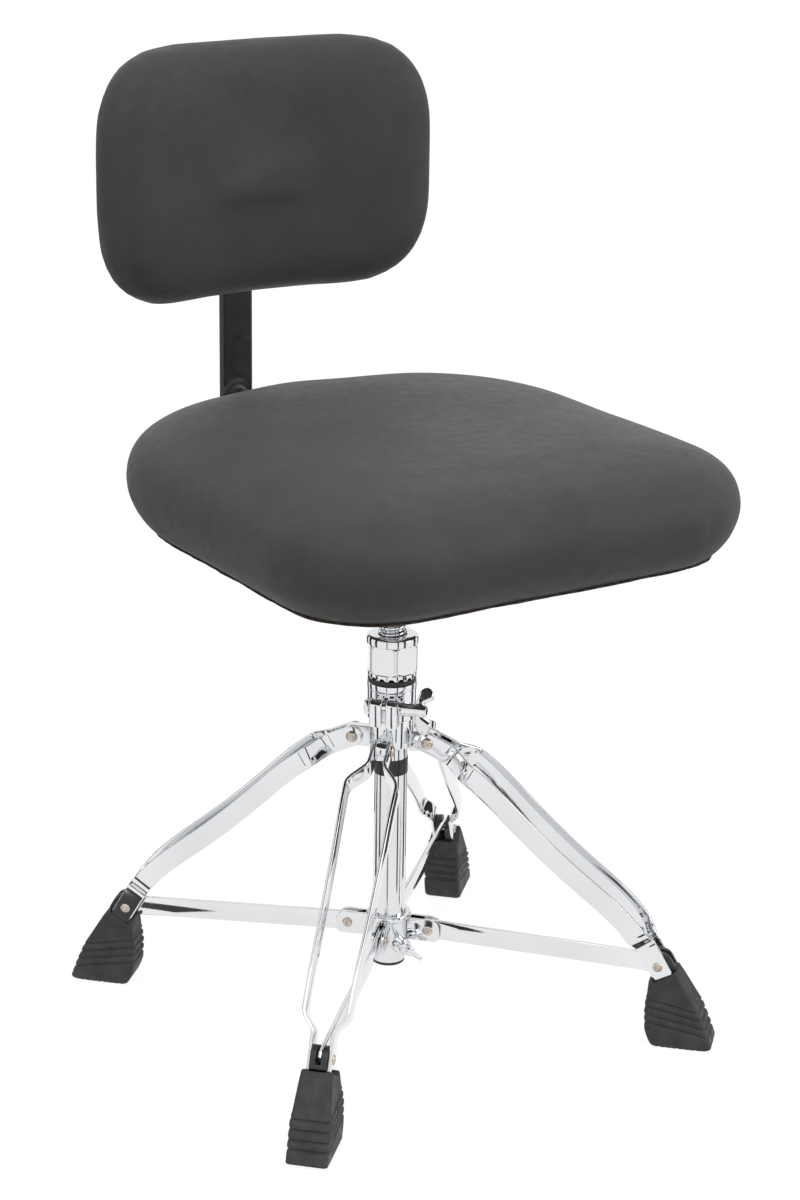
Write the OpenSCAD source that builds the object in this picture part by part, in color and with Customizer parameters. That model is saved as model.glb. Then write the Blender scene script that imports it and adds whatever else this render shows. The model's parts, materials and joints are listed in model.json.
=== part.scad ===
// Drum throne with a backrest: a four-legged folding stand, a threaded height
// spindle, a bench seat and a curved backrest on a flat steel bar.
// Frame: millimetres, +Z up, origin on the floor under the spindle, front = -Y.

/* [Tube] */
// Outside diameter of the centre tube
tube_d = 25.4; // [24:0.1:28]
// Wall of the centre tube
tube_wall = 1.5; // [1.2:0.1:2]
// Lower end of the centre tube above the floor
tube_z0 = 44; // [40:1:50]

/* [Legs] */
// Radius of the upper leg pivots
pivot_r = 29.2; // [28:0.1:32]
// Height of the upper leg pivots
pivot_z = 228.2; // [220:0.1:235]
// Radius of the foot rivets with the legs spread
foot_r = 211.7; // [200:0.1:215]
// Height of the foot rivets with the legs spread
foot_z = 64.5; // [60:0.1:70]
// Width of a leg strip
strip_w = 16; // [14:0.5:18]
// Thickness of a leg strip
strip_t = 2.5; // [2:0.1:3]
// Largest half width of a pair of strips
strip_spread = 20.5; // [18:0.5:22]

/* [Struts] */
// Radius of the lower strut pins
pin_r = 31.9; // [30:0.1:34]
// Height of the lower strut pins with the legs spread
pin_z = 72; // [70:0.1:75]
// Height of a strut
strut_w = 15.5; // [14:0.5:17]
// Thickness of a strut
strut_t = 3; // [2.5:0.1:3.5]

/* [Spindle] */
// Diameter over the spindle thread
spindle_d = 21; // [20:0.1:21.4]
// Lower end of the spindle
spindle_z0 = 130; // [125:1:150]
// Across the flats of the height nut
nut_flats = 36; // [34:0.5:37]

/* [Seat] */
// Half width of the seat
seat_half_w = 187; // [170:1:200]
// Front edge of the seat, ahead of the spindle
seat_front = 217; // [190:1:230]
// Back edge of the seat at its middle, behind the spindle
seat_back = 178; // [160:1:190]
// Underside of the seat
seat_z0 = 397.5; // [390:0.5:410]
// Thickness of the seat at its middle
seat_h = 84; // [70:1:95]

/* [Backrest] */
// Width of the back pad along its curve
back_w = 288; // [260:1:320]
// Height of the back pad
back_h = 192; // [170:1:210]
// Thickness of the back pad
back_t = 46; // [35:1:55]
// Height of the middle of the back pad
back_z = 630.5; // [600:0.5:660]
// Radius of the back pad's curve at its middle surface
back_bend_r = 330; // [300:5:500]
// Width of the backrest bar
bar_w = 28; // [24:1:32]
// Thickness of the backrest bar
bar_t = 7; // [5:0.5:8]

/* [Hidden] */
LEGS = ["fr", "fl", "rl", "rr"];
LEG_AZIMUTH = [225, 315, 45, 135];
$fn = 64;

// Fits and gaps
run_gap = 0.08;      // radial gap of a shaft that turns
slide_gap = 0.1;     // radial gap of a sleeve that slides
body_gap = 0.3;      // gap between faces that move past each other

// Leg geometry in its own plane: u runs from the pivot to the foot rivet, v is square to it
leg_drop = pivot_z - foot_z;
leg_reach = foot_r - pivot_r;
leg_len = sqrt(leg_drop * leg_drop + leg_reach * leg_reach);
leg_slope = atan2(leg_drop, leg_reach);
strut_len = sqrt((foot_r - pin_r) ^ 2 + (pin_z - foot_z) ^ 2);
strut_slope = atan2(pin_z - foot_z, foot_r - pin_r);
bow_waves = [[1, 12.1], [3, 3.8], [5, 0.5]];   // half waves along the leg and their heights
bow_steps = 28;
end_slope = bow_angle(0);   // slope of the strips to u at both ends

// Leg pivot lug, strips and rivets across the leg plane
lug_half = 4.3;
lug_round = 8;
strip_top_half = lug_half + body_gap + strip_t;
strip_low_half = 17.5;
block_half = 6.2;
strip_foot_half = block_half + 0.05 + strip_t;
joggle_top = [20, 35];
joggle_low = [217, 226];
strip_tail = 10;
rivet_r = 3.5;
rivet_head_r = 4.5;
rivet_head_h = 2.2;
foot_rivet_r = 2.4;
foot_head_r = 3.8;
strut_slot = strut_t + 2 * body_gap + 0.8;

// Foot outline in the plane of radius and height
foot_half_low = 15.5;
foot_half_top = 12.4;
foot_top_z = 61.5;

// Column above the legs, from the leg collar up
collar_z = [223, 245.5];
clamp_z = [246, 269.5];
ring_z = [269.5, 275];
bush_z = [275, 280.5];
nut_z = [279, 312];
column_r = 18.7;
nut_r = 19.8;
sleeve_r = 15.9;
bolt_z = 261;
bolt_reach = 24;
bolt_r = 3;
bolt_az = 315;

// Lower collar
low_collar_z = [50, 84];
low_collar_r = 15.8;
low_collar_rim = 1.2;
low_collar_rim_h = 4;
screw_z = 61;
screw_az = 270;
clevis_in = strut_t / 2 + body_gap + 1;
clevis_wall = 2;
pin_shaft_r = 2.5;

// Spindle guide and seat mounting stack
guide_z = [spindle_z0 - 14, spindle_z0 - 0.3];
guide_pin_r = 6;
hub_z = [362, 392.2];
hub_r = 18;
hub_flange_t = 4;
plate_t = 3;
cover_t = 0.8;
board_t = 12;
board_inset = 26;
plate_half = 80;
plate_z = hub_z[1] + hub_flange_t;
cover_z = plate_z + plate_t;
board_z = cover_z + cover_t;
bolt_circle = 58;
seat_bolt_half = 68;

// Backrest bar and its two holders
bar_z = 386.5;
bar_y = 239.5;
bar_bend = 52;
bar_front = 70;
bar_top = 700;
bar_holder_y = [86, 144];
holder_mid = (bar_holder_y[0] + bar_holder_y[1]) / 2;
holder_wall = 2.5;
holder_screw_x = 27;
holder_screw_y = 20;
holder_screw_r = 2.2;
depth_knob_y = 126;
back_y = bar_y - bar_t / 2 - 3.2 - back_t / 2;
back_board_t = 9;
back_sweep = 32;     // half of the pad's sweep about its bend, with room to cut it to shape
sleeve_z = [590, 660];
height_knob_z = 625;

// ---------- helpers ----------

module ring(r_out, r_in, z) {
    translate([0, 0, z[0]])
        difference() {
            cylinder(r = r_out, h = z[1] - z[0]);
            translate([0, 0, -1]) cylinder(r = r_in, h = z[1] - z[0] + 2);
        }
}

// Turns the XZ plane into the vertical plane at one azimuth
module at_azimuth(az) {
    rotate([0, 0, az]) children();
}

// Draws a 2D outline (radius, height) as a slab across that plane
module slab(half) {
    rotate([90, 0, 0]) linear_extrude(height = 2 * half, center = true) children();
}

// Puts children in a leg's own frame: X from the pivot to the foot rivet
module leg_frame(k) {
    at_azimuth(LEG_AZIMUTH[k])
        translate([pivot_r, 0, pivot_z])
            rotate([0, leg_slope, 0]) children();
}

// Puts children in a strut's own frame: X from the lower pin to the foot rivet
module strut_frame(k) {
    at_azimuth(LEG_AZIMUTH[k])
        translate([pin_r, 0, pin_z])
            rotate([0, strut_slope, 0]) children();
}

module across(r, half, x = 0, z = 0) {
    translate([x, 0, z]) rotate([90, 0, 0]) cylinder(r = r, h = 2 * half, center = true);
}

function bow(u) = sum([for (w = bow_waves) w[1] * sin(180 * w[0] * u / leg_len)]);
function bow_angle(u) =
    atan(sum([for (w = bow_waves) w[1] * w[0] * PI / leg_len * cos(180 * w[0] * u / leg_len)]));
function sum(v, i = 0) = i < len(v) ? v[i] + sum(v, i + 1) : 0;

// A point on one edge of a strip; side is 1 for the upper edge and -1 for the lower
function strip_edge(u, side) =
    [u - side * strip_w / 2 * sin(bow_angle(u)), bow(u) + side * strip_w / 2 * cos(bow_angle(u))];

// A line moved sideways by d, with mitred corners
function direction(a, b) = (b - a) / norm(b - a);
function normal_of(a, b) = [-direction(a, b)[1], direction(a, b)[0]];
function moved(p, d) = [for (i = [0 : len(p) - 1])
    let (a = normal_of(p[max(i - 1, 0)], p[max(i, 1)]),
         b = normal_of(p[min(i, len(p) - 2)], p[min(i + 1, len(p) - 1)]),
         m = a + b)
    p[i] + m * (2 * d / (m * m))];
function reversed(p) = [for (i = [len(p) - 1 : -1 : 0]) p[i]];

// Corner points of a rectangle with round corners, as a polygon
function round_rect(half_w, half_h, r, steps = 10) =
    [for (c = [[1, 1, 0], [-1, 1, 90], [-1, -1, 180], [1, -1, 270]], i = [0 : steps])
        let (a = c[2] + 90 * i / steps)
        [c[0] * (half_w - r) + r * cos(a), c[1] * (half_h - r) + r * sin(a)]];

// ---------- centre tube and its fittings ----------

module main_tube() {
    color("silver") ring(tube_d / 2, tube_d / 2 - tube_wall, [tube_z0, clamp_z[1]]);
}

module tube_plug() {
    color("dimgray") {
        translate([0, 0, tube_z0]) cylinder(r = tube_d / 2 - tube_wall, h = 10);
        translate([0, 0, tube_z0 - 2]) cylinder(r = tube_d / 2, h = 2);
    }
}

module tube_band() {
    color("black") ring(tube_d / 2 + 0.3, tube_d / 2, [200.6, 213.4]);
}

module lug_outline() {
    translate([pivot_r, pivot_z]) circle(r = lug_round);
    translate([0, pivot_z - lug_round]) square([pivot_r, 2 * lug_round]);
}

module leg_collar() {
    color("silver")
        difference() {
            union() {
                ring(17, tube_d / 2, collar_z);
                ring(sleeve_r, tube_d / 2, [collar_z[1], clamp_z[1]]);
                for (az = LEG_AZIMUTH) at_azimuth(az) slab(lug_half) lug_outline();
            }
            translate([0, 0, pivot_z - 20]) cylinder(r = tube_d / 2, h = 80);
            for (az = LEG_AZIMUTH) at_azimuth(az) across(rivet_r, 12, pivot_r, pivot_z);
        }
}

// A rivet across a plane, with a domed head at each end
module rivet(r, half, head_r, head_h, x, z) {
    across(r, half, x, z);
    for (side = [-1, 1])
        translate([x, side * half, z])
            rotate([-90 * side, 0, 0])
                intersection() {
                    cylinder(r = head_r, h = head_h);
                    translate([0, 0, head_h - 2 * head_r]) sphere(r = 2 * head_r);
                }
}

module leg_pivot_rivets() {
    color("goldenrod")
        for (az = LEG_AZIMUTH)
            at_azimuth(az)
                rivet(rivet_r, strip_top_half + body_gap, rivet_head_r, rivet_head_h, pivot_r, pivot_z);
}

// Split clamp: a ring with two ears on the front right, drawn in from the gap by a bolt
module tube_clamp() {
    ear_half = 11;
    gap_half = 1.5;
    color("silver")
        difference() {
            union() {
                ring(column_r, sleeve_r, clamp_z);
                at_azimuth(bolt_az - 90)
                    intersection() {
                        slab(ear_half) {
                            translate([15, clamp_z[0]]) square([14.5, bolt_z - clamp_z[0]]);
                            translate([bolt_reach - 0.5, bolt_z]) circle(r = 6);
                            translate([15, bolt_z - 2]) square([9, 8]);
                        }
                        translate([0, 0, clamp_z[0]]) cylinder(r = 32, h = 30);
                    }
            }
            translate([0, 0, clamp_z[0] - 1]) cylinder(r = sleeve_r, h = 30);
            at_azimuth(bolt_az - 90)
                translate([14, -gap_half, clamp_z[0] - 1]) cube([20, 2 * gap_half, 30]);
            at_azimuth(bolt_az - 90) across(bolt_r + run_gap, 15, bolt_reach, bolt_z);
        }
}

module clamp_bolt() {
    color("silver")
        at_azimuth(bolt_az - 90) {
            translate([bolt_reach, 0, bolt_z])
                rotate([-90, 0, 0])
                    translate([0, 0, -15]) cylinder(r = bolt_r, h = 42);
            translate([bolt_reach, -11, bolt_z]) rotate([90, 0, 0]) cylinder(r = 5.5, h = 4, $fn = 6);
        }
}

// Two-lobed wing on a tapered stem; the stem runs along +Z from its face at 0
module wing(stem_r, stem_h, lobe_reach, lobe_r, blade_t, bore_r) {
    difference() {
        union() {
            cylinder(r = stem_r, h = stem_h);
            slab(blade_t / 2) {
                for (side = [-1, 1])
                    translate([side * lobe_reach, stem_h - lobe_r * 0.6]) circle(r = lobe_r);
                translate([-lobe_reach, stem_h - lobe_r * 1.2]) square([2 * lobe_reach, lobe_r * 1.3]);
            }
        }
        translate([0, 0, -1]) cylinder(r = bore_r, h = stem_h + 20);
    }
}

module clamp_wing_nut() {
    color("silver")
        at_azimuth(bolt_az - 90)
            translate([bolt_reach, 11 + body_gap, bolt_z])
                rotate([-90, 0, 0])
                    rotate([0, 0, 62])
                        wing(5.2, 17, 12, 5.4, 4.5, bolt_r + run_gap);
}

module clamp_ring() {
    color("silver") ring(column_r + 0.4, spindle_d / 2 + slide_gap, ring_z);
}

module spindle_bush() {
    color("black") {
        ring(18.4, spindle_d / 2 + slide_gap, [bush_z[0], nut_z[0]]);
        ring(14, spindle_d / 2 + slide_gap, [bush_z[0], nut_z[0] + 6]);
    }
}

module height_nut() {
    scallops = 16;
    scallop_r = 2.4;
    bush_room_r = 14.1;
    color("silver")
        difference() {
            union() {
                intersection() {
                    translate([0, 0, nut_z[0] + 4])
                        cylinder(r = nut_flats / sqrt(3), h = nut_z[1] - nut_z[0] - 8, $fn = 6);
                    translate([0, 0, nut_z[0]]) cylinder(r = nut_r + 0.5, h = 40);
                }
                rotate_extrude()
                    polygon([[12, nut_z[0]], [column_r, nut_z[0]],
                             [column_r, nut_z[0] + 8], [12, nut_z[0] + 8]]);
                rotate_extrude()
                    polygon([[9, nut_z[1] - 7], [nut_r, nut_z[1] - 7], [nut_r, nut_z[1] - 3],
                             [nut_r - 3, nut_z[1]], [9, nut_z[1]]]);
            }
            translate([0, 0, nut_z[0] - 1]) cylinder(r = spindle_d / 2 + slide_gap, h = 40);
            translate([0, 0, nut_z[0] - 1]) cylinder(r = bush_room_r, h = 7.1);
            for (i = [0 : scallops - 1])
                rotate([0, 0, (i + 0.5) * 360 / scallops])
                    translate([0, -bush_room_r - 1, nut_z[0] - 0.6])
                        rotate([90, 0, 0]) cylinder(r = scallop_r, h = 10);
        }
}

// ---------- legs ----------

function strip_line() = [[-lug_round - 1, strip_top_half], [joggle_top[0], strip_top_half],
    [joggle_top[1], strip_spread], [joggle_low[0], strip_low_half],
    [joggle_low[1], strip_foot_half], [leg_len + 30, strip_foot_half]];

// Side outline of a strip: a round end at the pivot, the bow, and a square tail past the rivet
module strip_side() {
    us = [for (i = [0 : bow_steps]) leg_len * i / bow_steps];
    round_steps = 8;
    round_end = [for (i = [1 : round_steps - 1])
        let (a = 270 + bow_angle(0) - 180 * i / round_steps) strip_w / 2 * [cos(a), sin(a)]];
    tail = strip_tail * [cos(end_slope), -sin(end_slope)];
    polygon(concat(round_end, [for (u = us) strip_edge(u, 1)],
                   [strip_edge(leg_len, 1) + tail, strip_edge(leg_len, -1) + tail],
                   reversed([for (u = us) strip_edge(u, -1)])));
}

// One leg strip; side is 1 or -1 across the leg plane
module leg_strip(k, side) {
    color("silver")
        leg_frame(k)
            difference() {
                intersection() {
                    slab(30) strip_side();
                    mirror([0, side < 0 ? 1 : 0, 0])
                        translate([0, 0, -40])
                            linear_extrude(height = 80)
                                polygon(concat(strip_line(), reversed(moved(strip_line(), -strip_t))));
                }
                across(rivet_r + run_gap, 12, 0, 0);
                across(foot_rivet_r, 12, leg_len, 0);
            }
}

// Room for a strut through all its turns, in the leg frame
module strut_room() {
    slab(strut_slot / 2)
        polygon([[leg_len - 60, 45], [leg_len + 60, 45], [leg_len + 60, -9.2], [leg_len + 4.5, -9.2],
                 [leg_len - 8, -22], [leg_len - 40, -45], [leg_len - 60, -45]]);
}

module foot_block(k) {
    color("black")
        leg_frame(k)
            difference() {
                slab(block_half)
                    translate([leg_len, 0])
                        rotate(-end_slope)
                            polygon([[-9.5, -8], [16, -8], [16, 7], [9.5, 7], [8, 11.5],
                                     [-3, 11.5], [-7.5, 9.5], [-9.5, 5]]);
                strut_room();
                across(foot_rivet_r, 12, leg_len, 0);
            }
}

module foot_outline() {
    base_curve_r = 120;
    intersection() {
        polygon([[205, 53.5], [206.5, 54.5], [224, foot_top_z], [227, foot_top_z - 0.5],
                 [231, 56], [244, 35], [252, 16], [256.5, 3], [256, -2],
                 [212, -2], [208, 4], [204, 14], [203.4, 28]]);
        translate([228, base_curve_r - 1.2]) circle(r = base_curve_r, $fn = 180);
        translate([190, 0]) square([80, 90]);
    }
}

module rubber_foot(k) {
    color("dimgray")
        difference() {
            at_azimuth(LEG_AZIMUTH[k])
                intersection() {
                    slab(foot_half_low) foot_outline();
                    rotate([90, 0, 90])
                        linear_extrude(height = 300)
                            polygon([[-foot_half_low, -5], [foot_half_low, -5], [foot_half_low, 30],
                                     [foot_half_top, foot_top_z + 2], [-foot_half_top, foot_top_z + 2],
                                     [-foot_half_low, 30]]);
                }
            leg_frame(k)
                translate([leg_len, 0, 0])
                    rotate([0, end_slope, 0]) {
                        translate([-40, -block_half, -8]) cube([56, 2 * block_half, 15]);
                        translate([-40, -block_half, 6]) cube([49.8, 2 * block_half, 6]);
                        for (side = [-1, 1])
                            translate([-40, side > 0 ? block_half - 0.1 : -20, -strip_w / 2 - 0.3])
                                cube([40 + strip_tail + 0.3, 20.1 - block_half, strip_w + 0.6]);
                    }
            leg_frame(k) strut_room();
        }
}

module foot_rivet(k) {
    color("goldenrod")
        leg_frame(k) rivet(foot_rivet_r, strip_foot_half, foot_head_r, 1.2, leg_len, 0);
}

// Strut with an eye at the lower pin. Its outer end hooks over the foot rivet
module strut(k) {
    hook_u = 24 + foot_rivet_r;
    color("silver")
        strut_frame(k)
            difference() {
                slab(strut_t / 2) {
                    circle(r = strut_w / 2);
                    translate([0, -strut_w / 2]) square([strut_len + 7, strut_w]);
                }
                across(pin_shaft_r + run_gap, 5, 0, 0);
                slab(5)
                    translate([strut_len - hook_u - 1, -20])
                        square([hook_u + 1 + foot_rivet_r + 0.4, 20 + foot_rivet_r + 1.6]);
            }
}

// ---------- sliding collar ----------

module slide_collar() {
    color("silver")
        difference() {
            union() {
                ring(low_collar_r, tube_d / 2 + slide_gap, low_collar_z);
                ring(low_collar_r + low_collar_rim, tube_d / 2 + slide_gap,
                     [low_collar_z[1] - low_collar_rim_h, low_collar_z[1]]);
                at_azimuth(screw_az)
                    translate([14, 0, screw_z]) rotate([0, 90, 0]) cylinder(r = 6.5, h = 9);
            }
            translate([0, 0, 40]) cylinder(r = tube_d / 2 + slide_gap, h = 60);
            at_azimuth(screw_az)
                translate([10, 0, screw_z]) rotate([0, 90, 0]) cylinder(r = 3 + run_gap, h = 30);
        }
}

module strut_clevises() {
    clevis_round = 8;
    plate_end = 41;
    color("silver")
        for (az = LEG_AZIMUTH)
            at_azimuth(az)
                difference() {
                    intersection() {
                        slab(clevis_in + clevis_wall) {
                            translate([15, pin_z - 9]) square([plate_end - 15, 18 - clevis_round]);
                            translate([15, pin_z - 9]) square([plate_end - clevis_round - 15, 18]);
                            translate([plate_end - clevis_round, pin_z + 9 - clevis_round])
                                circle(r = clevis_round);
                        }
                        translate([0, 0, 40]) cylinder(r = 60, h = 60);
                    }
                    translate([0, 0, 40]) cylinder(r = low_collar_r, h = 60);
                    translate([0, 0, low_collar_z[1] - low_collar_rim_h])
                        cylinder(r = low_collar_r + low_collar_rim, h = 60);
                    translate([0, -clevis_in, 40]) cube([60, 2 * clevis_in, 60]);
                    across(pin_shaft_r, 12, pin_r, pin_z);
                }
}

module strut_pins() {
    color("goldenrod")
        for (az = LEG_AZIMUTH)
            at_azimuth(az)
                rivet(pin_shaft_r, clevis_in + clevis_wall, 4, 1.4, pin_r, pin_z);
}

module collar_wing_screw() {
    color("silver")
        at_azimuth(screw_az)
            translate([0, 0, screw_z])
                rotate([0, 90, 0]) {
                    translate([0, 0, tube_d / 2 + 0.4]) cylinder(r = 3, h = 14);
                    translate([0, 0, 23 + body_gap])
                        rotate([0, 0, 50])
                            wing(4.4, 9, 9, 4.6, 3, 0.5);
                    translate([0, 0, 20]) cylinder(r = 3, h = 10);
                }
}

// ---------- height spindle ----------

module spindle_rod() {
    rod_top = hub_z[1] - 2;
    color("silver")
        difference() {
            union() {
                translate([0, 0, spindle_z0]) cylinder(r = spindle_d / 2, h = rod_top - spindle_z0);
                translate([0, 0, guide_z[0] - 0.3])
                    cylinder(r = guide_pin_r, h = spindle_z0 - guide_z[0] + 0.3);
            }
            translate([0, 0, guide_z[0] - 1]) cylinder(r = 3, h = 16);
        }
}

module spindle_guide() {
    color("white")
        ring(tube_d / 2 - tube_wall - slide_gap, guide_pin_r + run_gap, guide_z);
}

module guide_screw() {
    color("gray") {
        translate([0, 0, guide_z[0] - 5.8]) cylinder(r = 8, h = 5.5);
        translate([0, 0, guide_z[0] - 1]) cylinder(r = 3, h = 15);
    }
}

// ---------- seat ----------

module seat_hub() {
    color("dimgray")
        difference() {
            union() {
                translate([0, 0, hub_z[0]]) cylinder(r = hub_r, h = hub_z[1] - hub_z[0]);
                translate([0, 0, hub_z[1]]) cylinder(r = 46, h = hub_flange_t);
            }
            translate([0, 0, hub_z[0] - 1]) cylinder(r = spindle_d / 2 + 0.02, h = hub_z[1] - hub_z[0] - 1);
            for (i = [0 : 3])
                rotate([0, 0, 45 + 90 * i])
                    translate([bolt_circle / 2 + 5, 0, hub_z[1] - 5]) cylinder(r = 3, h = 12);
        }
}

module hub_bolts() {
    color("gray")
        for (i = [0 : 3])
            rotate([0, 0, 45 + 90 * i])
                translate([bolt_circle / 2 + 5, 0, hub_z[1]]) {
                    translate([0, 0, -4]) cylinder(r = 5, h = 4, $fn = 6);
                    cylinder(r = 3, h = 15);
                }
}

module seat_plate() {
    corner = 12;
    color("dimgray")
        difference() {
            translate([0, 0, plate_z])
                linear_extrude(height = plate_t) polygon(round_rect(plate_half, plate_half, corner));
            for (i = [0 : 3])
                rotate([0, 0, 45 + 90 * i])
                    translate([bolt_circle / 2 + 5, 0, plate_z - 5]) cylinder(r = 3, h = 12);
            for (x = [-1, 1], y = [-1, 1])
                translate([x * seat_bolt_half, y * seat_bolt_half, plate_z - 5]) cylinder(r = 3, h = 12);
        }
}

module seat_bolts() {
    color("gray")
        for (x = [-1, 1], y = [-1, 1])
            translate([x * seat_bolt_half, y * seat_bolt_half, plate_z - 4]) {
                cylinder(r = 5, h = 4, $fn = 6);
                cylinder(r = 3, h = 17);
            }
}

// The seat's outline, drawn in by inset
module seat_outline(inset) {
    front_r = 77;
    back_r = 140;
    middle_r = 120;
    hull() {
        for (side = [-1, 1]) {
            translate([side * (seat_half_w - front_r), front_r - seat_front]) circle(r = front_r - inset);
            translate([side * (seat_half_w - back_r), seat_back - 10 - back_r]) circle(r = back_r - inset);
        }
        translate([0, seat_back - middle_r]) circle(r = middle_r - inset);
    }
}

module seat_board() {
    color("burlywood")
        difference() {
            translate([0, 0, board_z]) linear_extrude(height = board_t) seat_outline(board_inset);
            for (i = [0 : 3])
                rotate([0, 0, 45 + 90 * i])
                    translate([bolt_circle / 2 + 5, 0, board_z - 5]) cylinder(r = 3, h = 17);
            for (x = [-1, 1], y = [-1, 1])
                translate([x * seat_bolt_half, y * seat_bolt_half, board_z - 5]) cylinder(r = 3, h = 17);
            holder_screw_holes(board_z - 5, 17);
        }
}

// Foam and cover as one closed form, with a pocket below for the board
module seat_cushion() {
    crown = [[0, 20], [4, 10], [12, 3.5], [24, 0.6], [36, 0], [50, 1.5], [62, 7], [70, 17],
             [76, 34], [seat_h - 3, 70], [seat_h, 115]];
    color("dimgray")
        difference() {
            hull()
                for (c = crown)
                    translate([0, 0, seat_z0 + c[0]]) linear_extrude(height = 0.4) seat_outline(c[1]);
            translate([0, 0, board_z - 5]) linear_extrude(height = board_t + 5) seat_outline(board_inset);
        }
}

module dust_cover() {
    color("black")
        difference() {
            translate([0, 0, cover_z]) linear_extrude(height = cover_t) seat_outline(board_inset + 3);
            for (i = [0 : 3])
                rotate([0, 0, 45 + 90 * i])
                    translate([bolt_circle / 2 + 5, 0, cover_z - 5]) cylinder(r = 3, h = 12);
            for (x = [-1, 1], y = [-1, 1])
                translate([x * seat_bolt_half, y * seat_bolt_half, cover_z - 5]) cylinder(r = 3, h = 12);
            holder_screw_holes(cover_z - 5, 12);
        }
}

// ---------- backrest ----------

module holder_screw_holes(z, h) {
    for (x = [-1, 1], y = [-1, 1])
        translate([x * holder_screw_x, holder_mid + y * holder_screw_y, z])
            cylinder(r = holder_screw_r, h = h);
}

// Channel under the board that holds the bar's level leg
module bar_holder() {
    inner_half = bar_w / 2 + body_gap;
    wing_half = 34;
    holder_len = bar_holder_y[1] - bar_holder_y[0];
    floor_z = bar_z - bar_t / 2 - body_gap - holder_wall;
    color("dimgray")
        difference() {
            union() {
                translate([-inner_half - holder_wall, bar_holder_y[0], floor_z])
                    cube([2 * (inner_half + holder_wall), holder_len, cover_z - floor_z]);
                translate([-wing_half, bar_holder_y[0], cover_z - holder_wall])
                    cube([2 * wing_half, holder_len, holder_wall]);
            }
            translate([-inner_half, bar_holder_y[0] - 1, floor_z + holder_wall])
                cube([2 * inner_half, holder_len + 2, cover_z - floor_z]);
            translate([0, depth_knob_y, floor_z - 5]) cylinder(r = 4 + run_gap, h = 12);
            holder_screw_holes(cover_z - 8, 12);
        }
}

module holder_screws() {
    head_z = cover_z - holder_wall - 2;
    color("gray") {
        for (x = [-1, 1], y = [-1, 1])
            translate([x * holder_screw_x, holder_mid + y * holder_screw_y, head_z])
                cylinder(r = 4, h = 2);
        holder_screw_holes(head_z + 1.5, holder_wall + 10.5);
    }
}

// Lobed clamping knob on a stud; the stud runs along +Z and its tip is at 0
module knob(stud_r, stud_h, knob_r, knob_h) {
    lobes = 6;
    cylinder(r = stud_r, h = stud_h + 2);
    translate([0, 0, stud_h]) {
        cylinder(r = knob_r * 0.45, h = 6);
        translate([0, 0, 5])
            difference() {
                cylinder(r = knob_r, h = knob_h);
                for (i = [0 : lobes - 1])
                    rotate([0, 0, i * 360 / lobes])
                        translate([knob_r * 1.25, 0, -1]) cylinder(r = knob_r * 0.42, h = knob_h + 2);
            }
    }
}

module depth_knob() {
    color("black")
        translate([0, depth_knob_y, bar_z - bar_t / 2 - body_gap])
            rotate([180, 0, 0]) knob(4, 5.5, 17, 12);
}

// Flat bar: level under the seat, one wide bend, then upright behind the pad
module backrest_bar() {
    bend_y = bar_y - bar_bend;
    bend_z = bar_z + bar_bend;
    color("black") {
        translate([-bar_w / 2, bar_front, bar_z - bar_t / 2]) cube([bar_w, bend_y - bar_front, bar_t]);
        translate([-bar_w / 2, bar_y - bar_t / 2, bend_z]) cube([bar_w, bar_t, bar_top - bend_z]);
        intersection() {
            translate([0, bend_y, bend_z])
                rotate([0, 90, 0])
                    difference() {
                        cylinder(r = bar_bend + bar_t / 2, h = bar_w, center = true, $fn = 96);
                        cylinder(r = bar_bend - bar_t / 2, h = bar_w + 2, center = true, $fn = 96);
                    }
            translate([-bar_w, bend_y, bar_z - bar_t]) cube([2 * bar_w, bar_bend + bar_t, bar_bend + bar_t]);
        }
    }
}

// Sleeve on the bar, screwed to the back board
module back_sleeve() {
    inner_half = bar_w / 2 + body_gap;
    front_wall = 2.6;
    depth = bar_t + 2 * body_gap;
    sleeve_h = sleeve_z[1] - sleeve_z[0];
    front_y = bar_y - bar_t / 2 - body_gap - front_wall;
    color("dimgray")
        difference() {
            union() {
                translate([-inner_half - holder_wall, front_y, sleeve_z[0]])
                    cube([2 * (inner_half + holder_wall), depth + front_wall + holder_wall, sleeve_h]);
                translate([-36, front_y, sleeve_z[0]]) cube([72, front_wall, sleeve_h]);
            }
            translate([-inner_half, front_y + front_wall, sleeve_z[0] - 1])
                cube([2 * inner_half, depth, sleeve_h + 2]);
            translate([0, bar_y, height_knob_z]) rotate([-90, 0, 0]) cylinder(r = 4 + run_gap, h = 20);
            for (x = [-1, 1], z = [-1, 1])
                translate([x * 28, front_y - 5, (sleeve_z[0] + sleeve_z[1]) / 2 + z * 24])
                    rotate([-90, 0, 0]) cylinder(r = 2.2, h = 12);
        }
}

module height_knob() {
    color("black")
        translate([0, bar_y + bar_t / 2 + body_gap, height_knob_z])
            rotate([-90, 0, 0]) knob(4, 5.5, 17, 12);
}

// A slice of the pad's bent sheet between two radii, cut to a rounded rectangle
module bent_sheet(r_in, r_out, inset, corner) {
    half_w = back_bend_r * sin(back_w / 2 / back_bend_r * 180 / PI) - inset;
    half_h = back_h / 2 - inset;
    intersection() {
        translate([0, back_y - back_bend_r, back_z - back_h])
            rotate([0, 0, 90 - back_sweep])
                rotate_extrude(angle = 2 * back_sweep)
                    translate([r_in, 0]) square([r_out - r_in, 2 * back_h]);
        translate([0, back_y + 60, back_z])
            rotate([90, 0, 0])
                linear_extrude(height = 200) polygon(round_rect(half_w, half_h, corner));
    }
}

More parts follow.
